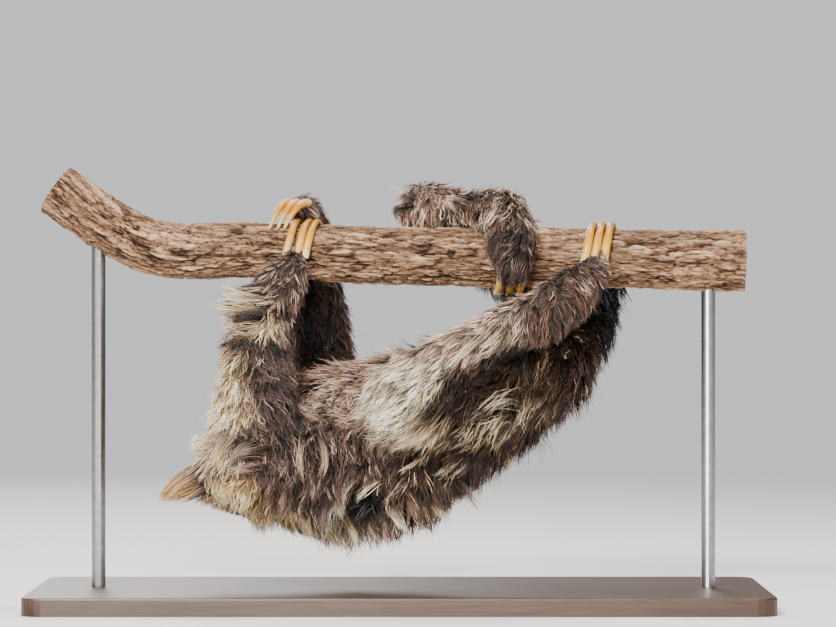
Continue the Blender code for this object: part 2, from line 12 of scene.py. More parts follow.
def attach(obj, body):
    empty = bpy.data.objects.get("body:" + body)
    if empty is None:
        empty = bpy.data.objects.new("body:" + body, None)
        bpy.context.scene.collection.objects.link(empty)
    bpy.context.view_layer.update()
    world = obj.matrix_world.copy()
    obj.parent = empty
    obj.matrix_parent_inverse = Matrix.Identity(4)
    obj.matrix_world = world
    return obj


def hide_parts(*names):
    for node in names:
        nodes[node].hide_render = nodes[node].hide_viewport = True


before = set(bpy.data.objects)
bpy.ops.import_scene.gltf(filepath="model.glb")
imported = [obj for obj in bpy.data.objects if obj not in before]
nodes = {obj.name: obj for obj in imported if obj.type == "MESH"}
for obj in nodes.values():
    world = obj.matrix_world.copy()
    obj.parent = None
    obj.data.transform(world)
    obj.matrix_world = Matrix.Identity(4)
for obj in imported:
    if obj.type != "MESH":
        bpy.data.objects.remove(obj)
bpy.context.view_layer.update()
print("frame loaded:", len(nodes), "nodes")


def tone(red, green, blue):
    # a colour as seen on screen, turned into the linear values that shaders use
    def linear(value):
        value /= 255.0
        return value / 12.92 if value <= 0.04045 else ((value + 0.055) / 1.055) ** 2.4
    return (linear(red), linear(green), linear(blue))


def smoothStep(low, high, value):
    share = np.clip((value - low) / (high - low), 0.0, 1.0)
    return share * share * (3.0 - 2.0 * share)


def unit(vectors):
    return vectors / np.maximum(np.linalg.norm(vectors, axis=-1, keepdims=True), 1e-9)


def newObject(name, mesh):
    piece = bpy.data.objects.new(name, mesh)
    bpy.context.scene.collection.objects.link(piece)
    return piece


def meshFromArrays(name, points, corners, starts):
    mesh = bpy.data.meshes.new(name)
    mesh.vertices.add(len(points))
    mesh.vertices.foreach_set("co", np.ascontiguousarray(points, dtype=np.float32).ravel())
    mesh.loops.add(len(corners))
    mesh.loops.foreach_set("vertex_index", np.ascontiguousarray(corners, dtype=np.int32))
    mesh.polygons.add(len(starts))
    mesh.polygons.foreach_set("loop_start", np.ascontiguousarray(starts, dtype=np.int32))
    mesh.update(calc_edges=True)
    mesh.shade_smooth()
    return mesh


def gridMesh(name, rows):
    # a lofted mesh through rows of points, each row a closed ring
    count = rows.shape[1]
    ring = np.arange(count)
    ahead = (ring + 1) % count
    quads = np.stack([ring, ahead, ahead + count, ring + count], axis=1)
    corners = (np.arange(len(rows) - 1)[:, None, None] * count + quads).ravel()
    return meshFromArrays(name, rows.reshape(-1, 3), corners, np.arange(0, len(corners), 4))


def closeEnds(mesh, sides, material=0):
    # caps the open ends of a lofted mesh and turns its faces outward
    work = bmesh.new()
    work.from_mesh(mesh)
    rims = [edge for edge in work.edges if edge.is_boundary]
    for cap in bmesh.ops.holes_fill(work, edges=rims, sides=sides)["faces"]:
        cap.material_index = material
    bmesh.ops.recalc_face_normals(work, faces=work.faces)
    work.to_mesh(mesh)
    work.free()
    mesh.shade_smooth()


def addPointData(mesh, name, kind, values):
    data = mesh.attributes.new(name, kind, "POINT")
    field = {"FLOAT": "value", "FLOAT_VECTOR": "vector", "FLOAT_COLOR": "color"}[kind]
    data.data.foreach_set(field, np.ascontiguousarray(values, dtype=np.float32).ravel())


def readArray(items, field, width, kind=np.float32):
    values = np.empty(len(items) * width, dtype=kind)
    items.foreach_get(field, values)
    return values.reshape(-1, width)


def meshPoints(mesh):
    return readArray(mesh.vertices, "co", 3).astype(float)


def setPoints(mesh, points):
    mesh.vertices.foreach_set("co", points.astype(np.float32).ravel())
    mesh.update()


def meshNormals(mesh):
    return readArray(mesh.vertex_normals, "vector", 3).astype(float)


def meshTriangles(mesh):
    mesh.calc_loop_triangles()
    return readArray(mesh.loop_triangles, "vertices", 3, np.int32)


def newMaterial(name):
    material = bpy.data.materials.new(name)
    material.use_nodes = True
    tree = material.node_tree
    return material, tree, tree.nodes["Principled BSDF"]


def addNode(tree, kind, settings=None, **inputs):
    # a node with its settings and inputs; an input may be a value or another node's output socket
    node = tree.nodes.new(kind)
    for key, value in (settings or {}).items():
        setattr(node, key, value)
    for key, value in inputs.items():
        socket = node.inputs[int(key[1:]) if key[1:].isdigit() else key.replace("_", " ")]
        if isinstance(value, bpy.types.NodeSocket):
            tree.links.new(value, socket)
        else:
            socket.default_value = value
    return node


def addRamp(tree, factor, stops):
    ramp = addNode(tree, "ShaderNodeValToRGB", i0=factor)
    elements = ramp.color_ramp.elements
    while len(elements) < len(stops):
        elements.new(0.5)
    for element, (place, colour) in zip(elements, stops):
        element.position = place
        element.color = (*colour, 1.0)
    return ramp.outputs["Color"]


unchanged = (1.0, 1.0, 1.0)  # leaves a colour as it is where a ramp multiplies it


def addMath(tree, operation, first, second=0.0):
    return addNode(tree, "ShaderNodeMath", {"operation": operation}, i0=first, i1=second).outputs[0]


def addSwing(tree, value, reach):
    # a noise value turned to swing about 0
    return addMath(tree, "MULTIPLY", addMath(tree, "SUBTRACT", value, 0.5), reach)


def addNoise(tree, place, scale, detail, roughness=0.5, distortion=0.0):
    return addNode(tree, "ShaderNodeTexNoise", Vector=place, Scale=scale, Detail=detail, Roughness=roughness,
                   Distortion=distortion).outputs[0]


def stretched(tree, place, scale):
    return addNode(tree, "ShaderNodeMapping", Vector=place, Scale=scale).outputs[0]


def pointData(tree, name, output="Fac"):
    return addNode(tree, "ShaderNodeAttribute", {"attribute_name": name}).outputs[output]


def objectPlace(tree):
    return addNode(tree, "ShaderNodeTexCoord").outputs["Object"]


def addMix(tree, blend, factor, first, second):
    settings = {"data_type": "RGBA", "blend_type": blend, "clamp_factor": True}
    second = second if isinstance(second, bpy.types.NodeSocket) else (*second, 1.0)
    return addNode(tree, "ShaderNodeMix", settings, i0=factor, i6=first, i7=second).outputs[2]


def addBump(tree, shader, height, strength, distance):
    bump = addNode(tree, "ShaderNodeBump", Strength=strength, Distance=distance, Height=height)
    tree.links.new(bump.outputs[0], shader.inputs["Normal"])


def setShader(tree, shader, colour, **sockets):
    tree.links.new(colour, shader.inputs["Base Color"])
    for name, value in sockets.items():
        shader.inputs[name.replace("_", " ")].default_value = value


# the lens shows a width of 0.836 at the camera's distance of 4
view = {"place": (0.018, -4.0, 0.2915), "sensor": 36.0, "lens": 36.0 * 4.0 / 0.836, "clip": 200.0}
lamps = {
    "key": {"place": (-0.8, -2.9, 2.0), "size": 0.8, "power": 240.0, "colour": (1.0, 0.95, 0.89)},
    "fill": {"place": (-0.4, -2.6, 0.06), "size": 0.9, "power": 64.0, "colour": (1.0, 0.95, 0.89)},
    "side": {"place": (2.4, -2.2, 1.2), "size": 2.0, "power": 16.0, "colour": (0.97, 0.98, 1.0)},
    "top": {"place": (0.4, 0.5, 2.6), "size": 1.2, "power": 70.0, "colour": (1.0, 0.98, 0.95)},
    "back": {"place": (-0.8, 2.8, 1.6), "size": 1.8, "power": 60.0, "colour": (1.0, 0.98, 0.96)}}
room = {"sky": (0.90, 0.905, 0.91), "skyStrength": 0.30, "backdrop": 0.86, "floor": (0.86, 0.85, 0.83),
        "floorSize": 120.0, "fade": (0.5, 4.0), "roughness": 0.7}


def makeCamera():
    data = bpy.data.cameras.new("camera")
    data.sensor_width, data.lens, data.clip_end = view["sensor"], view["lens"], view["clip"]
    camera = newObject("camera", data)
    camera.location = view["place"]
    camera.rotation_euler = (math.pi / 2.0, 0.0, 0.0)
    bpy.context.scene.camera = camera


def makeLamps():
    target = Vector((0.0, 0.0, 0.25))
    for name, lamp in lamps.items():
        data = bpy.data.lights.new(name, "AREA")
        data.shape = "DISK"
        data.size, data.energy, data.color = lamp["size"], lamp["power"], lamp["colour"]
        light = newObject(name, data)
        light.location = lamp["place"]
        light.rotation_euler = (target - Vector(lamp["place"])).to_track_quat("-Z", "Y").to_euler()


def makeRoom():
    world = bpy.data.worlds.new("studio")
    world.use_nodes = True
    tree = world.node_tree
    glow = tree.nodes["Background"]
    sky = (*room["sky"], 1.0)
    glow.inputs["Color"].default_value = sky
    glow.inputs["Strength"].default_value = room["skyStrength"]
    plain = addNode(tree, "ShaderNodeBackground", Color=sky, Strength=room["backdrop"])
    seen = addNode(tree, "ShaderNodeLightPath").outputs["Is Camera Ray"]
    both = addNode(tree, "ShaderNodeMixShader", i0=seen, i1=glow.outputs[0], i2=plain.outputs[0])
    tree.links.new(both.outputs[0], tree.nodes["World Output"].inputs["Surface"])
    bpy.context.scene.world = world
    half = room["floorSize"] / 2.0
    corners = np.array([(-half, -half, 0), (half, -half, 0), (half, half, 0), (-half, half, 0)])
    floor = newObject("floor", meshFromArrays("floor", corners, np.arange(4), [0]))
    material, tree, shader = newMaterial("floorPaint")
    place = objectPlace(tree)
    grain = addNoise(tree, place, 1.4, 3.0)
    shade = addRamp(tree, grain, [(0.3, tuple(0.98 * part for part in room["floor"])), (0.7, room["floor"])])
    setShader(tree, shader, shade, Roughness=room["roughness"])
    # far off, the floor that the camera sees passes into the backdrop, so no horizon shows
    far = addNode(tree, "ShaderNodeVectorMath", {"operation": "LENGTH"}, i0=place).outputs["Value"]
    fade = addNode(tree, "ShaderNodeMapRange", {"interpolation_type": "SMOOTHSTEP"}, Value=far,
                   From_Min=room["fade"][0], From_Max=room["fade"][1]).outputs[0]
    seen = addNode(tree, "ShaderNodeLightPath").outputs["Is Camera Ray"]
    glow = addNode(tree, "ShaderNodeEmission", Color=sky, Strength=room["backdrop"])
    share = addMath(tree, "MULTIPLY", fade, seen)
    both = addNode(tree, "ShaderNodeMixShader", i0=share, i1=shader.outputs[0], i2=glow.outputs[0])
    tree.links.new(both.outputs[0], tree.nodes["Material Output"].inputs["Surface"])
    floor.data.materials.append(material)


makeCamera()
makeLamps()
makeRoom()
print("camera, lamps and floor made")


# the near black colour is painted shadow, laid only where shade falls: the far rump and the hollows under the
# belly
palette = {
    "umber": tone(86, 62, 50), "rosyBrown": tone(76, 56, 49), "cream": tone(248, 212, 164),
    "white": tone(255, 240, 210), "greyBuff": tone(198, 168, 138), "buff": tone(242, 192, 132),
    "rosyGrey": tone(172, 138, 120), "redBrown": tone(64, 42, 31),
    "olive": tone(62, 44, 28), "greyBrown": tone(186, 156, 138), "black": tone(7, 5, 4),
    "dark": tone(32, 22, 16), "faceBuff": tone(226, 198, 154), "mask": tone(58, 40, 30),
    "amber": tone(210, 152, 58)}

# for each region: depth of the coat over the skin, length and half width of a lock in millimetres, locks to
# a square centimetre, how far they lift, how tightly they clump, how wavy they are in millimetres; the lie
# of the coat on the side that faces -Y and on the other; body and strand colour, share of such strands
regions = {
    "head": (5, 15, 0.62, 24, 0.3, 0.45, 0.6, (0.05, 0.1, -1), (0, 0.1, -1), "greyBuff cream", 0.3),
    "ear_right": (0.8, 7, 0.5, 30, 0.4, 0.4, 0.4, (-0.4, 0, -0.9), (-0.4, 0, -0.9), "greyBuff cream", 0.2),
    "ear_left": (0.8, 7, 0.5, 30, 0.4, 0.4, 0.4, (-0.4, 0, -0.9), (-0.4, 0, -0.9), "greyBuff cream", 0.2),
    "neck": (11, 32, 0.86, 18, 0.42, 0.64, 1.5, (0.25, 0, -1), (0.25, 0, -1), "buff cream", 0.35),
    "trunk": (15, 34, 0.88, 14.5, 0.4, 0.66, 2.8, (0.08, -0.35, -1), (0.08, 0.35, -1), "rosyGrey cream",
     0.05),
    "tail": (5, 16, 0.8, 22, 0.35, 0.6, 1, (1, 0.1, 0.1), (1, 0.1, 0.1), "redBrown greyBrown", 0.2),
    "upper_arm_right": (11, 32, 0.86, 18, 0.4, 0.66, 2.8, (-0.1, -0.1, -1), (0, 0.2, -1),
     "rosyBrown greyBrown", 0.2),
    "forearm_right": (9.5, 22, 0.8, 18, 0.36, 0.64, 2.8, (-0.15, 0, -1), (-0.2, 0.1, -1),
     "rosyBrown greyBrown", 0.18),
    "hand_right": (4.5, 14, 0.7, 26, 0.3, 0.6, 0.8, (-0.5, 0, -0.85), (0.3, 0.2, -0.9), "umber greyBrown",
     0.3),
    "upper_arm_left": (11, 30, 0.86, 15, 0.38, 0.64, 2.6, (0.2, -0.1, -1), (0, 0.2, -1),
     "rosyBrown greyBrown", 0.3),
    "forearm_left": (9, 25, 0.82, 17, 0.36, 0.62, 2.6, (0.35, 0, -0.9), (0.1, 0.1, -1), "umber greyBrown",
     0.25),
    "hand_left": (4.5, 14, 0.7, 24, 0.32, 0.6, 0.8, (0.6, 0.2, -0.5), (0.5, 0.3, -0.7),
     "rosyBrown greyBrown", 0.15),
    "thigh_right": (12, 36, 0.86, 18, 0.34, 0.66, 2.8, (-0.85, -0.1, -0.42), (-0.5, 0.3, -0.8),
     "redBrown cream", 0.14),
    "shin_right": (7, 20, 0.8, 22, 0.28, 0.58, 1, (-0.88, -0.1, -0.45), (-0.7, 0.2, -0.7),
     "greyBrown cream", 0.25),
    "foot_right": (5.5, 17, 0.75, 25, 0.28, 0.66, 1, (0.45, -0.1, -0.9), (0.4, 0.2, -0.9),
     "umber greyBrown", 0.22),
    "thigh_left": (9, 28, 0.84, 14, 0.34, 0.64, 2.6, (-0.4, -0.3, -0.8), (-0.3, 0.2, -0.9),
     "umber greyBrown", 0.3),
    "shin_left": (7, 22, 0.76, 22, 0.36, 0.64, 2.8, (0.1, -0.3, -0.95), (0.1, 0.4, -0.9),
     "greyBrown cream", 0.18),
    "foot_left": (6, 24, 0.76, 24, 0.34, 0.64, 2.6, (-0.5, -0.1, -0.85), (-0.3, 0.2, -0.95),
     "umber greyBrown", 0.45)}
regionKeys = ("depth", "length", "width", "density", "lift", "clump", "wave", "near", "far", "tones", "share")
for name, row in regions.items():
    regions[name] = {key: value / 1000.0 if key in ("depth", "length", "width", "wave") else value
                     for key, value in zip(regionKeys, row)}
regionNames = list(regions)

# the skin closes round the first steps of each claw's path, this much wider than the claw
skin = {"voxel": 0.0030, "smoothing": 8, "depthSmoothing": 10, "rootSteps": 4, "rootWidth": 1.5}


def fleshMesh():
    # the flesh nodes with the eyes, nose and claw roots, merged into one closed skin
    work = bmesh.new()
    for name in regionNames + ["eye_right", "eye_left", "nose"]:
        work.from_mesh(nodes[name].data)
    bmesh.ops.remove_doubles(work, verts=work.verts, dist=0.00001)
    for name in ("hand_right", "hand_left", "foot_right", "foot_left"):
        for index in range(3):
            for place, radius in clawPath("claw_" + name, index, 12)[:skin["rootSteps"]]:
                bmesh.ops.create_icosphere(work, subdivisions=2, radius=radius * skin["rootWidth"],
                                           matrix=Matrix.Translation(place))
    mesh = bpy.data.meshes.new("flesh")
    work.to_mesh(mesh)
    work.free()
    holder = newObject("flesh", mesh)
    merge = holder.modifiers.new("merge", "REMESH")
    merge.mode = "VOXEL"
    merge.voxel_size = skin["voxel"]
    soften = holder.modifiers.new("soften", "SMOOTH")
    soften.iterations = skin["smoothing"]
    graph = bpy.context.evaluated_depsgraph_get()
    merged = bpy.data.meshes.new_from_object(holder.evaluated_get(graph))
    bpy.data.objects.remove(holder, do_unlink=True)
    return merged


def meshEdges(mesh):
    return readArray(mesh.edges, "vertices", 2, np.int32)


def spread(values, edges, passes):
    # evens a value out over the mesh, each point taking half its neighbours' mean
    count = len(values)
    flat = values.reshape(count, -1)
    first, second = edges.T
    degree = np.maximum(np.bincount(edges.ravel(), minlength=count), 1)[:, None]
    for _ in range(passes):
        total = np.zeros_like(flat)
        for column, own in enumerate(flat.T):
            total[:, column] = (np.bincount(first, weights=own[second], minlength=count)
                                + np.bincount(second, weights=own[first], minlength=count))
        flat = 0.5 * flat + 0.5 * total / degree
    return flat.reshape(values.shape)


def onRegions(numbers, names):
    # True for the points whose region is one of those named
    return np.isin(numbers, [regionNames.index(name) for name in names.split()])


def nearestRegions(points):
    # number of the flesh node that each point is nearest to
    corners, triangles, owners = [], [], []
    for number, name in enumerate(regionNames):
        mesh = nodes[name].data
        offset = len(corners)
        corners += [vertex.co.copy() for vertex in mesh.vertices]
        mesh.calc_loop_triangles()
        triangles += [[offset + index for index in triangle.vertices] for triangle in mesh.loop_triangles]
        owners += [number] * len(mesh.loop_triangles)
    tree = BVHTree.FromPolygons(corners, triangles)
    return np.array([owners[tree.find_nearest(Vector(point))[2]] for point in points])


# the paths of branch and claws come first, because the skin closes round the claws' roots
branch = {
    "line": [(-0.345, 0.012, 0.416), (-0.300, 0.008, 0.385), (-0.262, 0.003, 0.364), (-0.225, 0.000, 0.355),
             (-0.160, 0.000, 0.3545), (-0.080, 0.000, 0.3520), (0.010, 0.000, 0.3490), (0.110, 0.000, 0.3475),
             (0.230, 0.000, 0.3465), (0.345, -0.004, 0.3435)],
    "radii": (0.0270, 0.0305), "steps": 560, "sides": 150, "relief": 0.0042, "seed": 11.0,
    "inner": 0.985, "highest": 0.40, "cutRings": (0.10, 0.40, 0.70, 0.92)}

claws = {
    "tipRadius": 0.0009, "clearance": 0.0008, "rings": 30, "sides": 20, "taper": 2.3, "settle": 2.2,
    "section": (1.03, 0.92),
    "claw_hand_right": {"roots": (-0.1135, -0.1025, -0.0945), "tips": (-0.0955, -0.0845, -0.0765),
                        "radius": 0.0038, "angles": (190.0, 52.0), "stagger": 0.0, "lift": 0.0},
    "claw_hand_left": {"roots": (-0.1090, -0.1004, -0.0918), "tips": (-0.1300, -0.1220, -0.1155),
                       "radius": 0.0042, "angles": (84.0, 132.0), "stagger": -5.0, "lift": 0.0165},
    "claw_foot_right": {"roots": (0.1830, 0.1922, 0.2014), "tips": (0.1990, 0.2082, 0.2174),
                        "radius": 0.0043, "angles": (190.0, 50.0), "stagger": 0.0, "lift": 0.0},
    "claw_foot_left": {"roots": (0.1015, 0.1115, 0.1215), "tips": (0.0915, 0.1015, 0.1115),
                       "radius": 0.0046, "angles": (214.0, 338.0), "stagger": 0.0, "lift": 0.0}}


def branchPoint(fraction):
    # place on the branch's middle line, a smooth curve through its points
    line = [Vector(point) for point in branch["line"]]
    spans = len(line) - 1
    place = min(max(fraction, 0.0), 1.0) * spans
    index = min(int(place), spans - 1)
    t = place - index
    before, start = line[max(index - 1, 0)], line[index]
    end, after = line[index + 1], line[min(index + 2, spans)]
    square = 2.0 * before - 5.0 * start + 4.0 * end - after
    cube = 3.0 * start - before - 3.0 * end + after
    return 0.5 * (2.0 * start + (end - before) * t + square * t ** 2 + cube * t ** 3)


def branchPointAt(x):
    low, high = 0.0, 1.0
    for _ in range(30):
        middle = (low + high) / 2.0
        if branchPoint(middle).x < x:
            low = middle
        else:
            high = middle
    return branchPoint(low)


def branchRadius(x):
    first, last = branch["line"][0][0], branch["line"][-1][0]
    return branch["radii"][0] + (branch["radii"][1] - branch["radii"][0]) * (x - first) / (last - first)


def clawPath(setName, index, rings):
    # middle line of one claw and its radii, wrapped round the branch
    claw = claws[setName]
    first, last = claw["angles"]
    first -= claw["stagger"] * (index - 1)
    path = []
    for step in range(rings):
        share = step / (rings - 1)
        radius = claw["radius"] + (claws["tipRadius"] - claw["radius"]) * share ** claws["taper"]
        x = claw["roots"][index] + (claw["tips"][index] - claw["roots"][index]) * share
        angle = math.radians(first + (last - first) * share)
        centre = branchPointAt(x)
        lift = claw["lift"] * (1.0 - share ** claws["settle"])
        reach = branchRadius(x) + radius + claws["clearance"] + lift
        place = Vector((x, centre.y + reach * math.cos(angle), centre.z + reach * math.sin(angle)))
        path.append((place, radius))
    return path


# patches of other colours, the last laid on top: the regions they may lie on, centre and reach along x, y
# and z in millimetres, turn about y in degrees, body and strand colour, share of such strands
markings = [
    # the near arm: pale wrist, dark streak, pale outer third, wavy pale locks at the elbow
    ("hand_right forearm_right", (-160, -85, 300), (36, 60, 14), 0, "umber cream", 0.62),
    ("forearm_right", (-140, -110, 289), (34, 60, 6), 0, "redBrown greyBrown", 0.3),
    ("forearm_right", (-140, -110, 275), (34, 60, 8), 0, "cream greyBuff", 0.5),
    ("forearm_right", (-180, -100, 204), (40, 80, 47), 0, "cream white", 0.35),
    ("forearm_right upper_arm_right", (-186, -100, 150), (34, 80, 30), 0, "greyBuff cream", 0.4),
    ("upper_arm_right neck trunk", (-142, -120, 142), (22, 70, 16), 0, "rosyBrown greyBrown", 0.3),
    # neck and nape
    ("head", (-210, -10, 140), (34, 45, 36), 0, "greyBrown greyBuff", 0.4),
    ("neck trunk upper_arm_right head", (-158, -50, 94), (48, 75, 38), 0, "buff cream", 0.4),
    ("neck trunk upper_arm_right head forearm_right", (-140, -50, 90), (26, 80, 20), 0, "buff white", 0.55),
    ("forearm_right upper_arm_right", (-172, -120, 112), (40, 70, 22), 0, "buff cream", 0.35),
    ("neck trunk upper_arm_right forearm_right", (-166, -80, 110), (26, 80, 13), 0, "buff cream", 0.45),
    ("head", (-238, 0, 104), (22, 50, 16), 0, "amber buff", 0.2),
    # trunk: painted shade beside the arm, fringe along the back, a hollow with pale curls, dark streaky flank
    ("trunk upper_arm_right forearm_right", (-99, -80, 190), (8, 70, 46), 0, "dark rosyBrown", 0.25),
    ("trunk upper_arm_right", (-100, -60, 112), (34, 80, 36), 20, "rosyBrown greyBrown", 0.35),
    ("trunk upper_arm_right", (-55, -100, 215), (45, 80, 45), 0, "greyBrown greyBuff", 0.4),
    ("trunk upper_arm_right neck", (-70, 0, 70), (85, 140, 27), 0, "umber cream", 0.6),
    ("trunk", (30, 0, 82), (60, 140, 23), -12, "umber greyBuff", 0.45),
    ("trunk upper_arm_right", (-56, -70, 98), (26, 50, 20), 0, "greyBrown white", 0.6),
    ("trunk thigh_right", (25, -60, 140), (90, 100, 30), -14, "redBrown cream", 0.18),
    ("trunk", (95, -30, 160), (80, 100, 45), -32, "redBrown greyBuff", 0.14),
    ("trunk thigh_left", (120, 100, 190), (50, 50, 30), -35, "greyBuff cream", 0.4),
    ("trunk", (30, 110, 130), (34, 50, 26), 0, "greyBuff cream", 0.3),
    ("trunk", (-50, 100, 140), (26, 50, 34), 0, "umber greyBrown", 0.3),
    ("trunk", (60, 110, 190), (40, 50, 24), 0, "redBrown greyBrown", 0.2),
    ("thigh_left trunk", (130, 100, 290), (40, 50, 30), -20, "greyBuff cream", 0.35),
    ("forearm_left", (-85, 110, 240), (30, 50, 40), 0, "greyBuff cream", 0.35),
    ("trunk", (175, 30, 235), (60, 120, 60), 0, "olive umber", 0.25),
    # painted shadow: the far rump in near black
    ("trunk tail thigh_left", (210, 70, 300), (48, 100, 60), 0, "black dark", 0.25),
    # the near leg: pale patch on the knee, streaky thigh with pale strands low down, olive rump
    ("thigh_right", (90, -80, 210), (85, 80, 50), 0, "olive umber", 0.35),
    # the olive of the thigh, with painted shade in the crease along the shin's lower edge
    ("thigh_right shin_right trunk", (100, -90, 243), (92, 80, 18), -31, "dark olive", 0.35),
    ("thigh_right trunk shin_right", (52, -110, 214), (50, 80, 26), -30, "dark redBrown", 0.4),
    ("thigh_right trunk shin_right", (-4, -110, 210), (50, 80, 25), -48, "white cream", 0.35),
    ("thigh_right trunk", (10, -120, 172), (30, 70, 9), -8, "cream greyBuff", 0.4),
    ("thigh_right trunk", (106, -90, 192), (50, 80, 16), -14, "olive cream", 0.42),
    ("shin_right thigh_right", (56, -120, 272), (64, 60, 15), -28, "greyBrown cream", 0.25),
    ("shin_right foot_right", (150, -100, 290), (45, 60, 32), 0, "umber greyBrown", 0.12),
    # the far leg, and painted shade on the inner side of the far arm
    ("shin_left thigh_left", (20, 0, 400), (50, 80, 40), 0, "rosyGrey cream", 0.22),
    ("shin_left foot_left", (75, 0, 390), (40, 80, 40), 0, "umber greyBrown", 0.45),
    ("foot_left", (110, -40, 335), (34, 50, 45), 0, "rosyBrown greyBrown", 0.08),
    ("forearm_left upper_arm_left", (-80, 30, 250), (60, 55, 80), 0, "dark umber", 0.25),
    # painted shade: a near black patch standing for a hollow in the coat, low on the near side
    ("trunk upper_arm_right", (-40, -70, 104), (21, 110, 13), -12, "black dark", 0.12)]


# strokes of the comb: regions, centre and reach in millimetres, direction and strength of the lie there,
# and what the coat's length, lift and clumping are multiplied by
combing = [
    ("hand_right", (-135, -90, 320), 30, (-0.45, 0, -0.9), 1, (1, 1, 1)),
    ("forearm_right hand_right", (-140, -100, 296), 26, (-1, 0, 0.05), 4, (1.25, 1, 1.15)),
    ("forearm_right", (-185, -100, 235), 40, (-0.95, 0, -0.35), 2.5, (1, 1.3, 1)),
    ("forearm_right", (-185, -100, 185), 40, (-0.9, 0, -0.45), 2, (1, 1.2, 1)),
    ("forearm_right", (-125, -130, 245), 36, (0.85, 0, -0.5), 2, (1, 1, 1)),
    ("forearm_right", (-125, -130, 195), 36, (0.85, 0, -0.55), 2, (1, 1, 1)),
    ("upper_arm_right forearm_right", (-185, -100, 145), 30, (-0.5, 0, -0.9), 1.5, (1, 1.2, 1)),
    ("upper_arm_right", (-130, -120, 155), 30, (-0.6, 0, -0.75), 2, (1, 1.3, 1)),
    ("neck trunk head", (-165, -20, 98), 34, (0.7, 0, -0.7), 2, (0.65, 0.8, 0.8)),
    ("trunk upper_arm_right", (-60, -80, 240), 60, (-0.95, -0.1, -0.25), 2.5, (0.65, 0.8, 0.7)),
    ("trunk upper_arm_right", (-60, -100, 185), 45, (-0.45, -0.1, -0.9), 2, (0.75, 1, 1)),
    ("trunk upper_arm_right", (-20, -30, 80), 70, (0.15, -0.2, -1), 0.8, (1.05, 1.2, 1.15)),
    ("trunk upper_arm_right", (-34, -80, 122), 22, (-0.95, 0, -0.25), 3, (0.5, 1, 1)),
    ("trunk", (60, -50, 110), 60, (0.45, -0.1, -0.9), 1.2, (1, 1, 1)),
    ("trunk", (140, 0, 190), 70, (-0.45, -0.2, -0.85), 1.2, (1, 1, 1)),
    ("thigh_right", (0, -110, 225), 45, (-0.8, 0, -0.6), 2.5, (1, 0.8, 0.8)),
    ("thigh_right", (40, -110, 180), 40, (-0.95, 0, -0.25), 2, (1, 1, 1)),
    ("thigh_right", (130, -50, 210), 50, (-0.85, 0, -0.55), 1.5, (1, 1, 1)),
    ("shin_right foot_right", (150, -100, 290), 32, (0.55, 0, -0.85), 2, (1, 1, 1)),
    ("shin_left", (70, -10, 410), 30, (0.65, -0.2, -0.7), 2, (1, 1, 1)),
    ("shin_left foot_left", (110, -30, 405), 30, (-0.6, -0.3, -0.75), 1.5, (1, 1, 1))]


# tufts drawn to a point: regions, where their roots lie, how widely and the point they run to, in
# millimetres; how much they keep of their own place there; how far they bow off the body and stray there
gathers = [
    ("head", (-208, 4, 126), 26, (-244, -4, 103.5), 0.1, 2, 1.5),
    ("hand_right forearm_right", (-150, -90, 309), 20, (-174, -90, 316), 0.25, 2, 2),
    ("hand_right forearm_right", (-152, -95, 298), 22, (-190, -88, 298.5), 0.3, 2, 3),
    ("forearm_right", (-158, -95, 286), 18, (-185, -95, 288), 0.3, 2, 1.5),
    ("forearm_right", (-184, -95, 236), 14, (-202, -96, 242), 0.5, 3, 4),
    ("forearm_right", (-188, -95, 212), 12, (-203, -96, 208), 0.6, 3, 4),
    ("upper_arm_right forearm_right neck head", (-192, -80, 168), 24, (-216, -80, 162), 0.6, 4, 4),
    ("neck trunk head upper_arm_right", (-146, -12, 90), 22, (-140, -12, 64), 0.3, 1, 1.5),
    ("upper_arm_right trunk neck", (-128, -110, 152), 22, (-162, -118, 143), 0.15, 4, 1.5),
    ("trunk upper_arm_right", (-100, -20, 85), 20, (-96, -25, 57), 0.3, 2, 1.5),
    ("trunk", (-62, -20, 85), 20, (-54, -25, 57), 0.3, 2, 1.5),
    ("trunk", (-22, -20, 85), 21, (-12, -30, 59), 0.3, 2, 1.5),
    ("trunk", (22, -20, 95), 21, (36, -30, 70), 0.3, 2, 1.5),
    ("trunk thigh_right upper_arm_right", (-60, -90, 112), 22, (-42, -105, 90), 0.2, 6, 1.5),
    ("thigh_right trunk", (30, -120, 180), 20, (-8, -125, 164), 0.2, 3, 1.5),
    ("thigh_right trunk", (115, -100, 188), 18, (76, -112, 190), 0.3, 5, 1.5),
    ("thigh_right trunk", (130, -90, 205), 16, (95, -105, 212), 0.3, 6, 1.5)]


# spikes of the solids that are all hair: root, tip and reach in millimetres, the share of the length from
# which the skin is drawn back and the share of the rest that it keeps
hairSpikes = [
    ((-150, -80, 278), (-196, -80, 310), 20, 0.15, 0.0),
    ((-160, -96, 221), (-200, -96, 238), 19, 0.45, 0.1),
    ((-205, 6, 130), (-243, -4, 104), 24, 0.2, 0.55),
    ((-128, 0, 92), (-143, -6, 67), 18, 0.1, 0.2)]


# places where the skin lies deeper in the solid: centre, reach and how far it moves, in millimetres
presses = [
    ((-200, 0, 94), 26, (4, 0, 12)),
    ((-172, 0, 86), 26, (0, 0, 14))]


# the face in its own axes: side (the animal's left), crown (up) and front, from the middle of the head;
# bands are the values between which a share grows from 0 to 1
face = {
    "middle": Vector((-0.168, 0.016, 0.126)), "front": Vector((-0.30, 0.95, 0.06)).normalized(),
    "crown": Vector((-0.88, -0.25, -0.36)), "refineAt": 0.036, "refineReach": 0.046, "cuts": 2,
    "coatDepth": 0.0013, "flat": (0.42, 0.72), "edge": (0.066, 0.078), "reach": 0.080,
    "hairLength": (0.0055, 0.014)}
face["crown"] = (face["crown"] - face["front"] * face["crown"].dot(face["front"])).normalized()
face["side"] = face["crown"].cross(face["front"])
faceMiddle = np.array(face["middle"])
faceFrame = np.array([face["side"], face["crown"], face["front"]])

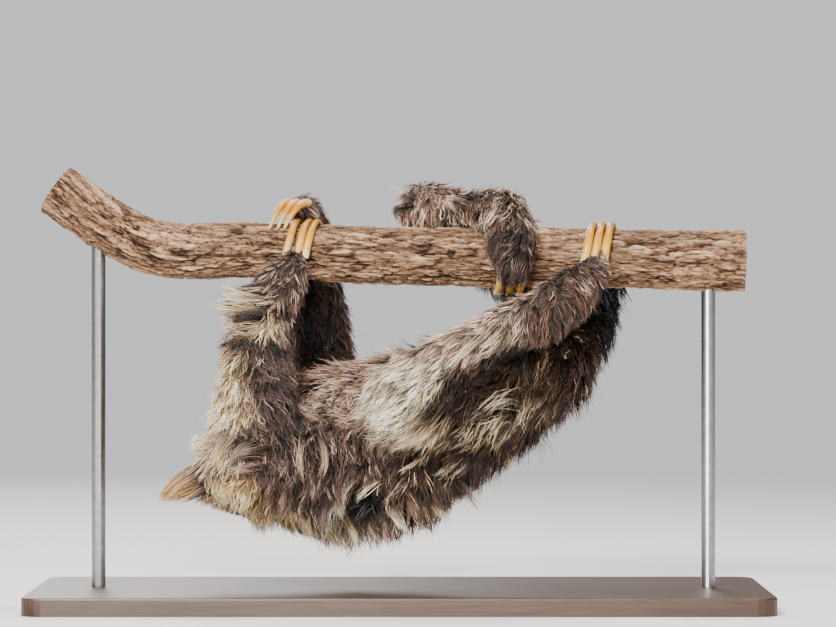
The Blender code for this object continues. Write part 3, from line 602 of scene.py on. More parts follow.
# lips are given by how far from the mouth's line they swell, over what width and by how much
mouth = {"half": 0.0185, "drop": 0.0088, "smile": 0.0050, "groove": (0.0009, 0.0018),
         "lips": (0.0028, 0.0016, 0.0006)}

# lids: thickness, half width and height of the opening, where they pass into the face; crease and socket
# are given by distance from the eye's middle, width and depth
lids = {"thickness": 0.0007, "aperture": (0.0050, 0.0032), "reach": (0.0048, 0.0074), "within": 0.016,
        "ballSunk": 0.0014, "rim": 0.0004, "crease": (0.0074, 0.0008, 0.0005),
        "socket": (0.0110, 0.0026, 0.0010), "power": 1.7, "lower": 0.0003, "opens": (0.80, 1.15),
        "rimPlace": (1.35, 0.35)}


def faceAxes(points):
    # places across, up and forward in the face's axes
    return np.stack([(points - faceMiddle) @ axis for axis in faceFrame], axis=1)


def faceShare(points):
    # 1 on the flat of the face, 0 on the rest of the body
    local = faceAxes(points)
    distance = np.linalg.norm(local, axis=1)
    forward = local[:, 2] / np.maximum(distance, 1e-6)
    return smoothStep(*face["flat"], forward) * (1.0 - smoothStep(*face["edge"], distance))


nosePlace = faceAxes(meshPoints(nodes["nose"].data)).mean(axis=0)
eyePlaces = {name: meshPoints(nodes[name].data).mean(axis=0) for name in ("eye_right", "eye_left")}
eyeRadius = 0.5 * np.ptp(meshPoints(nodes["eye_right"].data)[:, 0])


def mouthLine(local):
    # how far above the line of the mouth each point lies, and 1 where the mouth runs, 0 past its corners
    across = local[:, 0] / mouth["half"]
    line = nosePlace[1] - mouth["drop"] + mouth["smile"] * across ** 2
    within = (1.0 - smoothStep(0.80, 1.05, np.abs(across))) * smoothStep(0.020, 0.030, local[:, 2])
    return local[:, 1] - line, within


def ridge(values, middle, width, height):
    # a smooth ridge of the given width where the values are near the middle one
    return np.exp(-((values - middle) / width) ** 2) * height


def refineFace(mesh):
    # smaller faces on the face, so that lids, mouth and sockets can be formed
    centre = face["middle"] + face["front"] * face["refineAt"]
    work = bmesh.new()
    work.from_mesh(mesh)
    for cut in range(face["cuts"]):
        reach = face["refineReach"] - 0.004 * cut
        near = [item for item in work.faces if (item.calc_center_median() - centre).length < reach]
        edges = list({edge for item in near for edge in item.edges})
        bmesh.ops.subdivide_edges(work, edges=edges, cuts=1, use_grid_fill=True)
    bmesh.ops.triangulate(work, faces=[item for item in work.faces if len(item.verts) > 4])
    work.to_mesh(mesh)
    work.free()


def eyeAxes(name):
    # the way an eye looks and the plane of its lids
    out = unit(eyePlaces[name] - faceMiddle)
    look = unit(0.65 * faceFrame[2] + 0.35 * out)
    across = unit(faceFrame[0] - look * (look @ faceFrame[0]))
    return look, across, np.cross(look, across)


def shapeFace(points, normals):
    local = faceAxes(points)
    onFace = (local[:, 2] > 0.012) & (np.linalg.norm(local, axis=1) < face["reach"])
    # mouth: a groove between lips that swell a little
    above, within = mouthLine(local)
    swell = ridge(np.abs(above), *mouth["lips"]) - ridge(above, 0.0, *mouth["groove"])
    points = points + normals * (onFace * within * swell)[:, None]
    # eyes: lids that lie on the ball round an opening, a crease over them and a shallow socket
    for name, eye in eyePlaces.items():
        look, across, up = eyeAxes(name)
        away = points - eye
        a, b, height = away @ across, away @ up, away @ look
        r = np.hypot(a, b)
        near = onFace & (height > -0.006) & (r < lids["within"])
        ball = np.sqrt(np.maximum(eyeRadius ** 2 - r ** 2, 0.0))
        lidRadius = eyeRadius + lids["thickness"]
        lid = np.sqrt(np.maximum(lidRadius ** 2 - np.minimum(r, lidRadius - 0.0006) ** 2, 0.0))
        outward = smoothStep(*lids["reach"], r)
        wanted = lid * (1.0 - outward) + height * outward
        wide, high = lids["aperture"]
        opening = (np.abs(a) / wide) ** lids["power"] + (np.abs(b + lids["lower"]) / high) ** lids["power"]
        inside = 1.0 - smoothStep(*lids["opens"], opening)
        wanted += ridge(opening, *lids["rimPlace"], lids["rim"])
        wanted = wanted * (1.0 - inside) + (ball - lids["ballSunk"]) * inside
        sunk = ridge(r, *lids["crease"]) * smoothStep(-0.002, 0.003, b) + ridge(r, *lids["socket"])
        points = points + look * np.where(near, wanted - height - sunk, 0.0)[:, None]
    return points


# colours of the face: a pale mask, buff over the brow from the first height to the second, brown under the
# chin, and dark stripes that widen behind the eyes
faceDress = {
    "depth": 0.0024, "hairBand": (0.010, 0.040), "parting": (0.0, 0.006, 0.0), "fray": (90.0, 70.0),
    "frayed": 0.25, "brow": (0.018, 0.028), "chin": (-0.036, -0.026), "browFray": 0.004,
    "changes": (("width", -0.48), ("density", 2.2), ("lift", -0.45), ("clump", -0.5), ("wave", -0.6)),
    "stripe": {"drop": 0.16, "half": 0.0062, "widens": 0.09, "edge": (0.75, 1.25), "starts": (-0.008, -0.004),
               "ends": (0.026, 0.036)},
    "lidBand": (0.0052, 0.0066), "lipBand": (0.0010, 0.0024), "noseBand": (0.0066, 0.0080),
    "noseShape": (1.15, 1.0, 1.4), "shortBy": (0.5, 0.014)}


def dressFace(points, values):
    # short radial coat, bare lids, nose and lips, pale mask with dark stripes behind the eyes
    local = faceAxes(points)
    share = faceShare(points)
    parting = faceMiddle + (nosePlace + np.array(faceDress["parting"])) @ faceFrame
    values["flow"] = values["flow"] * (1.0 - share)[:, None] + unit(points - parting) * share[:, None]
    out = smoothStep(*faceDress["hairBand"], np.hypot(local[:, 0], local[:, 1] - nosePlace[1]))
    short, full = face["hairLength"]
    values["length"] = values["length"] * (1.0 - share) + (short + (full - short) * out) * share
    values["depth"] = values["depth"] * (1.0 - share) + faceDress["depth"] * share
    for key, change in faceDress["changes"]:
        values[key] = values[key] * (1.0 + change * share)

    wander = faceDress["frayed"] * blotches(points, *faceDress["fray"])
    blend(values, share, "faceBuff white", 0.35)
    rise = local[:, 1] + faceDress["browFray"] * wander
    blend(values, share * smoothStep(*faceDress["brow"], rise), "buff greyBuff", 0.4)
    blend(values, share * (1.0 - smoothStep(*faceDress["chin"], rise)), "umber greyBrown", 0.4)
    bare = np.zeros(len(points))
    form = faceDress["stripe"]
    for name, eye in eyePlaces.items():
        spot = faceAxes(eye[None, :])[0]
        across, up = (local[:, 0] - spot[0]) * math.copysign(1.0, spot[0]), local[:, 1] - spot[1]
        behind = np.clip(across, 0.0, None)
        aside = np.abs(up + form["drop"] * behind) / (form["half"] + form["widens"] * behind)
        stripe = 1.0 - smoothStep(*form["edge"], aside + wander)
        stripe *= smoothStep(*form["starts"], across) * (1.0 - smoothStep(*form["ends"], across))
        blend(values, stripe * (local[:, 2] > -0.01), "mask umber", 0.25)
        look, side, top = eyeAxes(name)
        gap = points - eye
        r = np.hypot(gap @ side, gap @ top)
        bare = np.maximum(bare, (1.0 - smoothStep(*faceDress["lidBand"], r)) * (gap @ look > -0.006))
    above, within = mouthLine(local)
    lips = within * (1.0 - smoothStep(*faceDress["lipBand"], np.abs(above))) * (local[:, 2] > 0.02)
    fromNose = np.linalg.norm((local - nosePlace) / np.array(faceDress["noseShape"]), axis=1)
    bare = np.maximum(np.maximum(bare, lips), 1.0 - smoothStep(*faceDress["noseBand"], fromNose))
    blend(values, bare, "mask mask", 0.0)
    values["density"] = values["density"] * (1.0 - bare)
    values["bare"] = bare
    shorter, reach = faceDress["shortBy"]
    values["length"] = values["length"] * (1.0 - shorter * np.exp(-(fromNose / reach) ** 2))


def blotches(points, scale, shift):
    # slow noise at each point, from -1 to 1
    return np.array([noise.noise(Vector(point) * scale + Vector((shift, shift, shift))) for point in points])


def blend(values, weight, tones, part):
    # draws body and strand colour and the share of strands towards the given ones
    for key, colour in zip(("body", "strand"), tones.split()):
        values[key] += (np.array(palette[colour]) - values[key]) * weight[:, None]
    values["share"] += (part - values["share"]) * weight


# over the whole coat: the band in which the near side's lie passes into the far side's, passes that even
# things out, noise that frays the markings, painted shade in blotches where the hair is long, standing in for
# shadowed hollows between the tufts, and how full it is
coatField = {
    "turnBand": (-0.35, 0.35), "flowPasses": 24, "changeReach": 1.2, "edge": (0.72, 1.18),
    "fray": ((38.0, 4.0, 0.35), (110.0, 9.0, 0.20)), "hollow": (62.0, 50.0), "hollowBand": (0.10, 0.42),
    "hollowLength": (0.012, 0.022), "hollowPaintedShade": 0.66, "fullness": 1.04, "farThinner": 0.30,
    "evened": (("body strand share", 3), ("length width density lift clump wave", 8))}


def coatMap(points, normals, numbers, edges):
    # every value that the coat needs, at each point of the skin
    def byRegion(key):
        return np.array([regions[name][key] for name in regionNames])[numbers]

    values = {key: byRegion(key) for key in ("depth", "length", "width", "density", "lift", "clump", "wave")}
    farShare = smoothStep(*coatField["turnBand"], normals[:, 1])[:, None]
    flow = unit(byRegion("near")) * (1.0 - farShare) + unit(byRegion("far")) * farShare
    for on, at, reach, way, strength, changes in combing:
        allowed = onRegions(numbers, on)
        away = np.linalg.norm(points - np.array(at) / 1000.0, axis=1) / (reach / 1000.0)
        flow += unit(np.array(way)) * (allowed * strength * np.exp(-away ** 2))[:, None]
        share = allowed * np.exp(-(away / coatField["changeReach"]) ** 2)
        for key, change in zip(("length", "lift", "clump"), changes):
            values[key] = values[key] * (1.0 + (change - 1.0) * share)
    flow = spread(unit(flow), edges, coatField["flowPasses"])
    # where the wanted lie points straight off the skin the coat hangs, so the flow is left short there
    values["flow"] = flow - normals * np.sum(flow * normals, axis=1, keepdims=True)
    pairs = [[palette[colour] for colour in regions[name]["tones"].split()] for name in regionNames]
    values["body"], values["strand"] = np.array(pairs)[numbers].transpose(1, 0, 2)
    values["share"] = byRegion("share")
    wander = sum(blotches(points, scale, shift) * strength for scale, shift, strength in coatField["fray"])
    for on, at, reach, tilt, tones, part in markings:
        gap = points - np.array(at) / 1000.0
        across, down = math.cos(math.radians(tilt)), math.sin(math.radians(tilt))
        turned = np.stack([gap[:, 0] * across - gap[:, 2] * down, gap[:, 1],
                           gap[:, 0] * down + gap[:, 2] * across], axis=1)
        distance = np.linalg.norm(turned / (np.array(reach) / 1000.0), axis=1) + wander
        inside = 1.0 - smoothStep(*coatField["edge"], distance)
        blend(values, onRegions(numbers, on) * inside, tones, part)
    # painted shade: blotches of long hair are darkened as though they were shadowed hollows between the tufts
    hollow = smoothStep(*coatField["hollowBand"], blotches(points, *coatField["hollow"]))
    hollow *= smoothStep(*coatField["hollowLength"], values["length"])
    values["shade"] = 1.0 - coatField["hollowPaintedShade"] * hollow
    for keys, passes in coatField["evened"]:
        for key in keys.split():
            values[key] = spread(values[key], edges, passes)
    thinner = coatField["farThinner"] * smoothStep(0.0, 0.6, normals[:, 1])
    values["density"] = coatField["fullness"] * values["density"] * (1.0 - thinner)
    dressFace(points, values)
    return values


def drawBack(points):
    for root, tip, reach, begin, keep in hairSpikes:
        root, tip = np.array(root) / 1000.0, np.array(tip) / 1000.0
        length = np.linalg.norm(tip - root)
        way = (tip - root) / length
        along = (points - root) @ way
        aside = np.linalg.norm(points - root - along[:, None] * way, axis=1)
        start = begin * length
        inside = (aside < reach / 1000.0) & (along > start) & (along < length * 1.2)
        points[inside] -= ((along[inside] - start) * (1.0 - keep))[:, None] * way
    for at, reach, move in presses:
        away = np.linalg.norm(points - np.array(at) / 1000.0, axis=1) / (reach / 1000.0)
        points += np.exp(-away ** 2)[:, None] * np.array(move) / 1000.0
    return points


def makeSkin():
    mesh = fleshMesh()
    refineFace(mesh)
    edges = meshEdges(mesh)
    points = spread(drawBack(meshPoints(mesh)), edges, 3)
    numbers = nearestRegions(points)
    depth = np.array([regions[name]["depth"] for name in regionNames])[numbers]
    depth = spread(depth, edges, skin["depthSmoothing"])
    depth += (face["coatDepth"] - depth) * faceShare(points)
    setPoints(mesh, points)
    normals = spread(meshNormals(mesh), edges, 3)
    points = spread(points - unit(normals) * depth[:, None], edges, 4)
    setPoints(mesh, points)
    points = shapeFace(points, meshNormals(mesh))
    setPoints(mesh, points)
    mesh.shade_smooth()
    values = coatMap(points, meshNormals(mesh), numbers, edges)
    return newObject("sloth_skin", mesh), points, numbers, values


sloth, skinPoints, skinRegions, skinValues = makeSkin()
skinNormals = meshNormals(sloth.data)
skinTriangles = meshTriangles(sloth.data)
skinTree = BVHTree.FromPolygons([Vector(point) for point in skinPoints], skinTriangles.tolist())
first, second, third = skinPoints[skinTriangles].transpose(1, 0, 2)
skinArea = 0.5 * np.linalg.norm(np.cross(second - first, third - first), axis=1)


def openness(points, normals, edges, reach=0.022):
    # 1 where the skin lies open, down to a quarter where another part of the body covers it
    covered = np.zeros(len(points))
    for number, (point, normal) in enumerate(zip(points, normals)):
        hit = skinTree.ray_cast(Vector(point + normal * 0.002), Vector(normal), reach)
        covered[number] = hit[0] is not None
    return 1.0 - 0.75 * spread(covered, edges, 4)


skinOpen = openness(skinPoints, skinNormals, meshEdges(sloth.data))
print("skin made:", len(skinTriangles), "triangles")


coat = {
    "seed": 5, "longRings": (0.0, 0.20, 0.42, 0.64, 0.85), "shortRings": (0.0, 0.30, 0.60, 0.85),
    "short": ("head", "ear_right", "ear_left", "tail", "hand_right", "hand_left", "foot_right", "shin_right",
              "upper_arm_left", "forearm_left", "thigh_left", "shin_left", "foot_left", "neck"),
    "trunkCuts": {"coat_chest": (-1.0, -0.035), "coat_flank": (-0.035, 0.045), "coat_rump": (0.045, 1.0)},
    "bakePatch": 0.003}

# guides: distance and steps, ranges of length, lift and waves, pull of their weight; the least and the most
# that they stand off the skin, as shares of the coat's depth at the root and towards the tip; larger tufts
guideForm = {
    "spacing": 0.0046, "steps": 10, "lengths": (0.72, 1.18), "lifts": (0.55, 1.35), "waves": (0.9, 1.9),
    "turn": 0.30, "sag": 0.12, "gravity": 7.35, "low": (0.30, 0.6), "high": (0.35, 0.95),
    "hanging": (0.5, 1.6), "underside": -0.55, "hold": 0.8, "tuftShare": 0.14, "tuftClosing": 0.50,
    "sway": ((30.0, 20.0, 0.9), (75.0, 31.0, 0.7)), "fullTurn": 0.022, "leastTurn": 0.25,
    "gatherEdge": (0.75, 1.15), "gatherReach": (0.80, 1.02)}

# broad locks lie low in the coat, fine ones above them, and the broad ones are darker as painted shade under
# the fine; some of the fine ones stray; whether a lock is a strand is drawn by tuft and by lock, and its tip
# keeps a part of its own colour
lockKinds = {
    "broad": {"length": (0.60, 0.88), "width": (0.85, 1.15), "rise": (-0.15, 0.05), "bright": 0.52},
    "fine": {"length": (0.72, 1.0), "width": (0.40, 0.66), "rise": (-0.05, 0.34), "bright": 1.14},
    "broadShare": 0.24, "strayShare": 0.14, "gauge": 0.94, "closing": (0.45, 1.05), "strayLift": 0.0020,
    "frizzWaves": (0.5, 1.6), "draws": (0.6, 0.4), "tipParts": (0.3, 0.7), "varied": (-0.06, 0.44),
    "tuftContrast": 1.6}

# what these are multiplied by, for a lock that strays and for the others
strayForm = {"closing": (0.15, 1.0), "drift": (1.4, 0.5), "frizz": (0.7, 0.35), "width": (0.7, 1.0)}

# a lock: how its width runs from root to tip, and its brightness, painted shade deep at the root rising to
# painted light at the tip; how flat it is, how far it twists and rolls, where its tip colour begins and how
# much its hue varies
lockForm = {"width": ([0.0, 0.25, 0.6, 0.86], [0.75, 1.0, 0.78, 0.40]), "flat": (0.45, 0.9), "twist": 0.5,
            "roll": 0.9, "shade": ([0.0, 0.3, 0.75, 1.0], [0.12, 0.55, 1.12, 1.40]), "tipFrom": 0.35,
            "warmth": 0.04}


def scatter(rng, count, triangles, weights):
    # points spread over some of the skin's triangles: their corners and the corners' shares
    picked = triangles[rng.choice(len(triangles), size=count, p=weights / weights.sum())]
    first = np.sqrt(rng.random(count))
    second = rng.random(count)
    shares = np.stack([1.0 - first, first * (1.0 - second), first * second], axis=1)
    return skinTriangles[picked], shares


def sample(values, corners, shares):
    picked = values[corners]
    if picked.ndim == 2:
        return np.sum(picked * shares, axis=1)
    return np.sum(picked * shares[:, :, None], axis=1)


def nearestOf(places, points):
    # number of the place that each point is nearest to
    tree = KDTree(len(places))
    for number, place in enumerate(places):
        tree.insert(place, number)
    tree.balance()
    return np.array([tree.find(point)[1] for point in points])


def makeGuides(rng):
    # middle lines of the tufts: each leaves the skin along the lie of the coat, sinks under its weight
    # and is kept between the skin and the top of the coat
    density = np.sqrt(skinValues["density"] / skinValues["density"].mean())
    weights = skinArea * density[skinTriangles].mean(axis=1)
    count = int(weights.sum() / guideForm["spacing"] ** 2)
    corner, shares = scatter(rng, count, np.arange(len(skinTriangles)), weights)
    roots = sample(skinPoints, corner, shares)
    normals = unit(sample(skinNormals, corner, shares))
    flow = sample(skinValues["flow"], corner, shares)
    length = sample(skinValues["length"], corner, shares) * rng.uniform(*guideForm["lengths"], count)
    lift = sample(skinValues["lift"], corner, shares) * rng.uniform(*guideForm["lifts"], count)
    depth = sample(skinValues["depth"], corner, shares)
    wave = sample(skinValues["wave"], corner, shares)
    turn = rng.normal(0.0, guideForm["turn"], count)
    for scale, shift, strength in guideForm["sway"]:
        turn = turn + strength * blotches(roots, scale, shift)
    turn *= np.clip(length / guideForm["fullTurn"], guideForm["leastTurn"], 1.0)
    phase = rng.uniform(0.0, 2.0 * math.pi, count)
    cycles = rng.uniform(*guideForm["waves"], count)
    steps = guideForm["steps"]
    paths, ups = np.zeros((2, count, steps, 3))
    down = Vector((0, 0, -1))
    for number in range(count):
        place, normal, lie = Vector(roots[number]), Vector(normals[number]), Vector(flow[number])
        lie = lie + normal.cross(lie) * float(turn[number])
        direction = (lie + normal * float(lift[number]) + down * guideForm["sag"]).normalized()
        stride = float(length[number]) / (steps - 1)
        top = float(depth[number])
        paths[number, 0] = place
        ups[number, 0] = normal
        for step in range(1, steps):
            share = step / (steps - 1)
            direction = (direction + down * (guideForm["gravity"] * stride)).normalized()
            place = place + direction * stride
            found, up, _, _ = skinTree.find_nearest(place)
            height = (place - found).dot(up)
            first, more = guideForm["high"] if up.z > guideForm["underside"] else guideForm["hanging"]
            low = guideForm["low"][0] * share ** guideForm["low"][1]
            wanted = min(max(height, top * low), top * (first + more * share))
            if abs(wanted - height) > 1e-6:
                place = place + up * (wanted - height) * guideForm["hold"]
            # the step taken gives the next direction, so the skin's slope turns the lock along it
            direction = (place - Vector(paths[number, step - 1])).normalized()
            paths[number, step] = place
            ups[number, step] = up
    along = unit(np.gradient(paths, axis=1))
    sideways = unit(np.cross(along, ups))
    share = np.linspace(0.0, 1.0, steps)[None, :]
    swing = wave[:, None] * np.sin(2.0 * math.pi * cycles[:, None] * share + phase[:, None]) * share ** 0.7
    paths += sideways * swing[:, :, None]
    own = skinRegions[corner[:, 0]]
    reach = np.linspace(0.0, 1.0, steps)[None, :, None]
    for on, at, wide, tip, keep, bow, stir in gathers:
        gap = roots - np.array(at) / 1000.0
        away = np.linalg.norm(gap, axis=1) / (wide / 1000.0)
        weight = onRegions(own, on) * (1.0 - smoothStep(*guideForm["gatherEdge"], away))
        end = np.array(tip) / 1000.0 + gap * keep
        end += rng.normal(0.0, stir / 1000.0, (count, 3))
        run = (end - roots)[:, None, :] * reach * rng.uniform(*guideForm["gatherReach"], count)[:, None, None]
        drawn = roots[:, None, :] + run + normals[:, None, :] * (bow / 1000.0 * 4.0 * reach * (1.0 - reach))
        paths += (drawn - paths) * weight[:, None, None]
    # wet hair: the guides themselves draw together into larger tufts
    leaders = rng.choice(count, size=int(count * guideForm["tuftShare"]), replace=False)
    leader = leaders[nearestOf(roots[leaders], roots)]
    offset = roots - roots[leader]
    closing = guideForm["tuftClosing"] * reach ** 1.3
    paths = paths * (1.0 - closing) + (paths[leader] + offset[:, None, :] * (1.0 - reach)) * closing
    return {"roots": roots, "paths": paths, "ups": ups}


def alongGuide(paths, numbers, shares):
    # the guides' places at the given shares of their length
    last = paths.shape[1] - 1
    place = np.clip(shares, 0.0, 1.0) * last
    low = np.minimum(place.astype(int), last - 1)
    part = (place - low)[:, :, None]
    row = numbers[:, None]
    return paths[row, low] * (1.0 - part) + paths[row, low + 1] * part


def unwrapPlaces(points, numbers):
    # an unwrap of the skin: each region has its own tile, turned round its own long axis
    tiles = math.ceil(math.sqrt(len(regionNames)))
    places = np.zeros((len(points), 2))
    for number in range(len(regionNames)):
        chosen = numbers == number
        own = skinPoints[skinRegions == number]
        if not chosen.any() or len(own) < 8:
            continue
        centre = own.mean(axis=0)
        _, _, axes = np.linalg.svd(own - centre, full_matrices=False)
        local = (points[chosen] - centre) @ axes.T
        span = (own - centre) @ axes[0]
        around = np.arctan2(local[:, 2], local[:, 1]) / (2.0 * math.pi) + 0.5
        along = (local[:, 0] - span.min()) / (span.max() - span.min())
        inside = np.stack([around, np.clip(along, 0.0, 1.0)], axis=1)
        places[chosen] = (np.array([number % tiles, number // tiles]) + 0.04 + 0.92 * inside) / tiles
    return places


def buildLocks(rng, path, up, width, colour, tip, bright, roots, numbers, rings):
    # points, faces, colours and maps of many locks at once: three sides, tapering to a point
    count, ringCount = len(path), len(rings)
    along = unit(np.gradient(path, axis=1))
    side = unit(np.cross(along, up))
    top = np.cross(side, along)
    twist = rng.normal(0.0, lockForm["twist"], count)[:, None] * np.concatenate([rings, [1.0]])
    roll = (rng.uniform(-lockForm["roll"], lockForm["roll"], count)[:, None] + twist)[:, :, None]
    side, top = side * np.cos(roll) + top * np.sin(roll), top * np.cos(roll) - side * np.sin(roll)
    width = width[:, None, None] * np.interp(rings, *lockForm["width"])[None, :, None]
    under, over = lockForm["flat"]
    body = path[:, :ringCount]
    side, top = side[:, :ringCount], top[:, :ringCount]
    lower = body - top * width * under
    block = np.stack([lower - side * width, lower + side * width, body + top * width * over], axis=2)
    points = np.concatenate([block.reshape(count, -1, 3), path[:, -1:, :]], axis=1)
    perLock = ringCount * 3 + 1
    # faces of one lock: root cap, sides and the point
    faces = [(0, 1, 2)]
    for ring in range(ringCount - 1):
        for a, b in ((0, 1), (1, 2), (2, 0)):
            low, high = ring * 3, ring * 3 + 3
            faces.append((low + a, high + a, high + b, low + b))
    last = (ringCount - 1) * 3
    faces += [(last + a, perLock - 1, last + b) for a, b in ((0, 1), (1, 2), (2, 0))]
    corner = np.array([index for face in faces for index in face])
    sizes = np.array([len(face) for face in faces])
    starts = np.concatenate([[0], np.cumsum(sizes)[:-1]])
    corners = (np.arange(count)[:, None] * perLock + corner[None, :]).ravel()
    starts = (np.arange(count)[:, None] * len(corner) + starts[None, :]).ravel()
    # painted shade at the root, rising to painted light at the tip
    warm = rng.normal(0.0, lockForm["warmth"], count)
    tint = bright[:, None] * np.stack([1.0 + warm, np.ones(count), 1.0 - warm], axis=1)
    share = np.concatenate([np.repeat(rings, 3), [1.0]])
    shade = np.interp(share, *lockForm["shade"])[None, :, None]
    late = np.interp(share, [lockForm["tipFrom"], 1.0], [0.0, 1.0])[None, :, None]
    shaded = (colour[:, None, :] * (1.0 - late) + tip[:, None, :] * late) * tint[:, None, :] * shade
    rgba = np.concatenate([np.clip(shaded, 0.0, 1.0), np.ones((count, perLock, 1))], axis=2)
    # maps: one runs round and along each lock, the other is its patch on the unwrapped skin
    sideShare = np.concatenate([np.tile([0.0, 0.66, 0.33], ringCount), [0.33]])
    lockMap = np.stack([sideShare, share], axis=1)[corner]
    strip = lockMap[None, :, :] + np.stack([rng.integers(0, 64, count), np.zeros(count)], axis=1)[:, None, :]
    patch = unwrapPlaces(roots, numbers)[:, None, :] + (lockMap[None, :, :] - 0.5) * coat["bakePatch"]
    points, rgba = points.reshape(-1, 3), rgba.reshape(-1, 4)
    return points, corners, starts, rgba, strip.reshape(-1, 2), patch.reshape(-1, 2)


def makeLocks(rng, guides, roots, values, numbers, rings):
    # locks that follow the guide nearest to them
    count = len(roots)
    rings = np.array(rings)
    steps = np.concatenate([rings, [1.0]])
    step = steps[None, :, None]
    owner = nearestOf(guides["roots"], roots)
    broad = rng.random(count) < lockKinds["broadShare"]
    stray = ~broad & (rng.random(count) < lockKinds["strayShare"])

    def vary(key):
        return np.where(broad, *(rng.uniform(*lockKinds[kind][key], count) for kind in ("broad", "fine")))

    shares = steps[None, :] * vary("length")[:, None]
    centre = alongGuide(guides["paths"], owner, shares)
    up = unit(alongGuide(guides["ups"], owner, shares))
    offset = (roots - guides["paths"][owner, 0])[:, None, :]
    closing = values["clump"] * rng.uniform(*lockKinds["closing"], count)
    closing = np.clip(closing * np.where(stray, *strayForm["closing"]), 0.0, 0.95)
    path = centre + offset * (1.0 - closing[:, None, None] * step ** 0.9)
    loft = values["depth"] * vary("rise") + np.where(stray, lockKinds["strayLift"], 0.0)
    path += up * loft[:, None, None] * step
    drift = (values["wave"] * np.where(stray, *strayForm["drift"]))[:, None, None]
    path += rng.normal(0.0, 1.0, (count, 1, 3)) * drift * step ** 1.5
    waves = rng.uniform(*lockKinds["frizzWaves"], (count, 1, 1)) * step + rng.random((count, 1, 3))
    frizz = (values["wave"] * np.where(stray, *strayForm["frizz"]))[:, None, None]
    path += np.sin(2.0 * math.pi * waves) * step * frizz
    width = lockKinds["gauge"] * values["width"] * vary("width") * np.where(stray, *strayForm["width"])
    # colours: the markings where the lock shows and where it ends, body or strand colour
    shown = nearestOf(skinPoints, path[:, len(rings) // 2])
    ended = nearestOf(skinPoints, path[:, len(rings)])
    byTuft, byLock = lockKinds["draws"]
    drawn = byTuft * guides["draw"][owner] + byLock * rng.random(count)
    isStrand = (drawn < skinValues["share"][shown])[:, None]
    colour = np.where(isStrand, skinValues["strand"][shown], skinValues["body"][shown])
    kept, taken = lockKinds["tipParts"]
    tip = np.where(isStrand, skinValues["strand"][ended], skinValues["body"][ended])
    tip = kept * colour + taken * tip
    tufts = (guides["shade"][owner] - 0.5) * lockKinds["tuftContrast"]
    bright = np.exp(rng.normal(*lockKinds["varied"], count) + tufts)
    bright *= np.where(broad, lockKinds["broad"]["bright"], lockKinds["fine"]["bright"])
    # painted shade of the hollows, from the coat map
    bright *= skinValues["shade"][shown]
    return buildLocks(rng, path, up, width, colour, tip, bright, roots, numbers, rings)


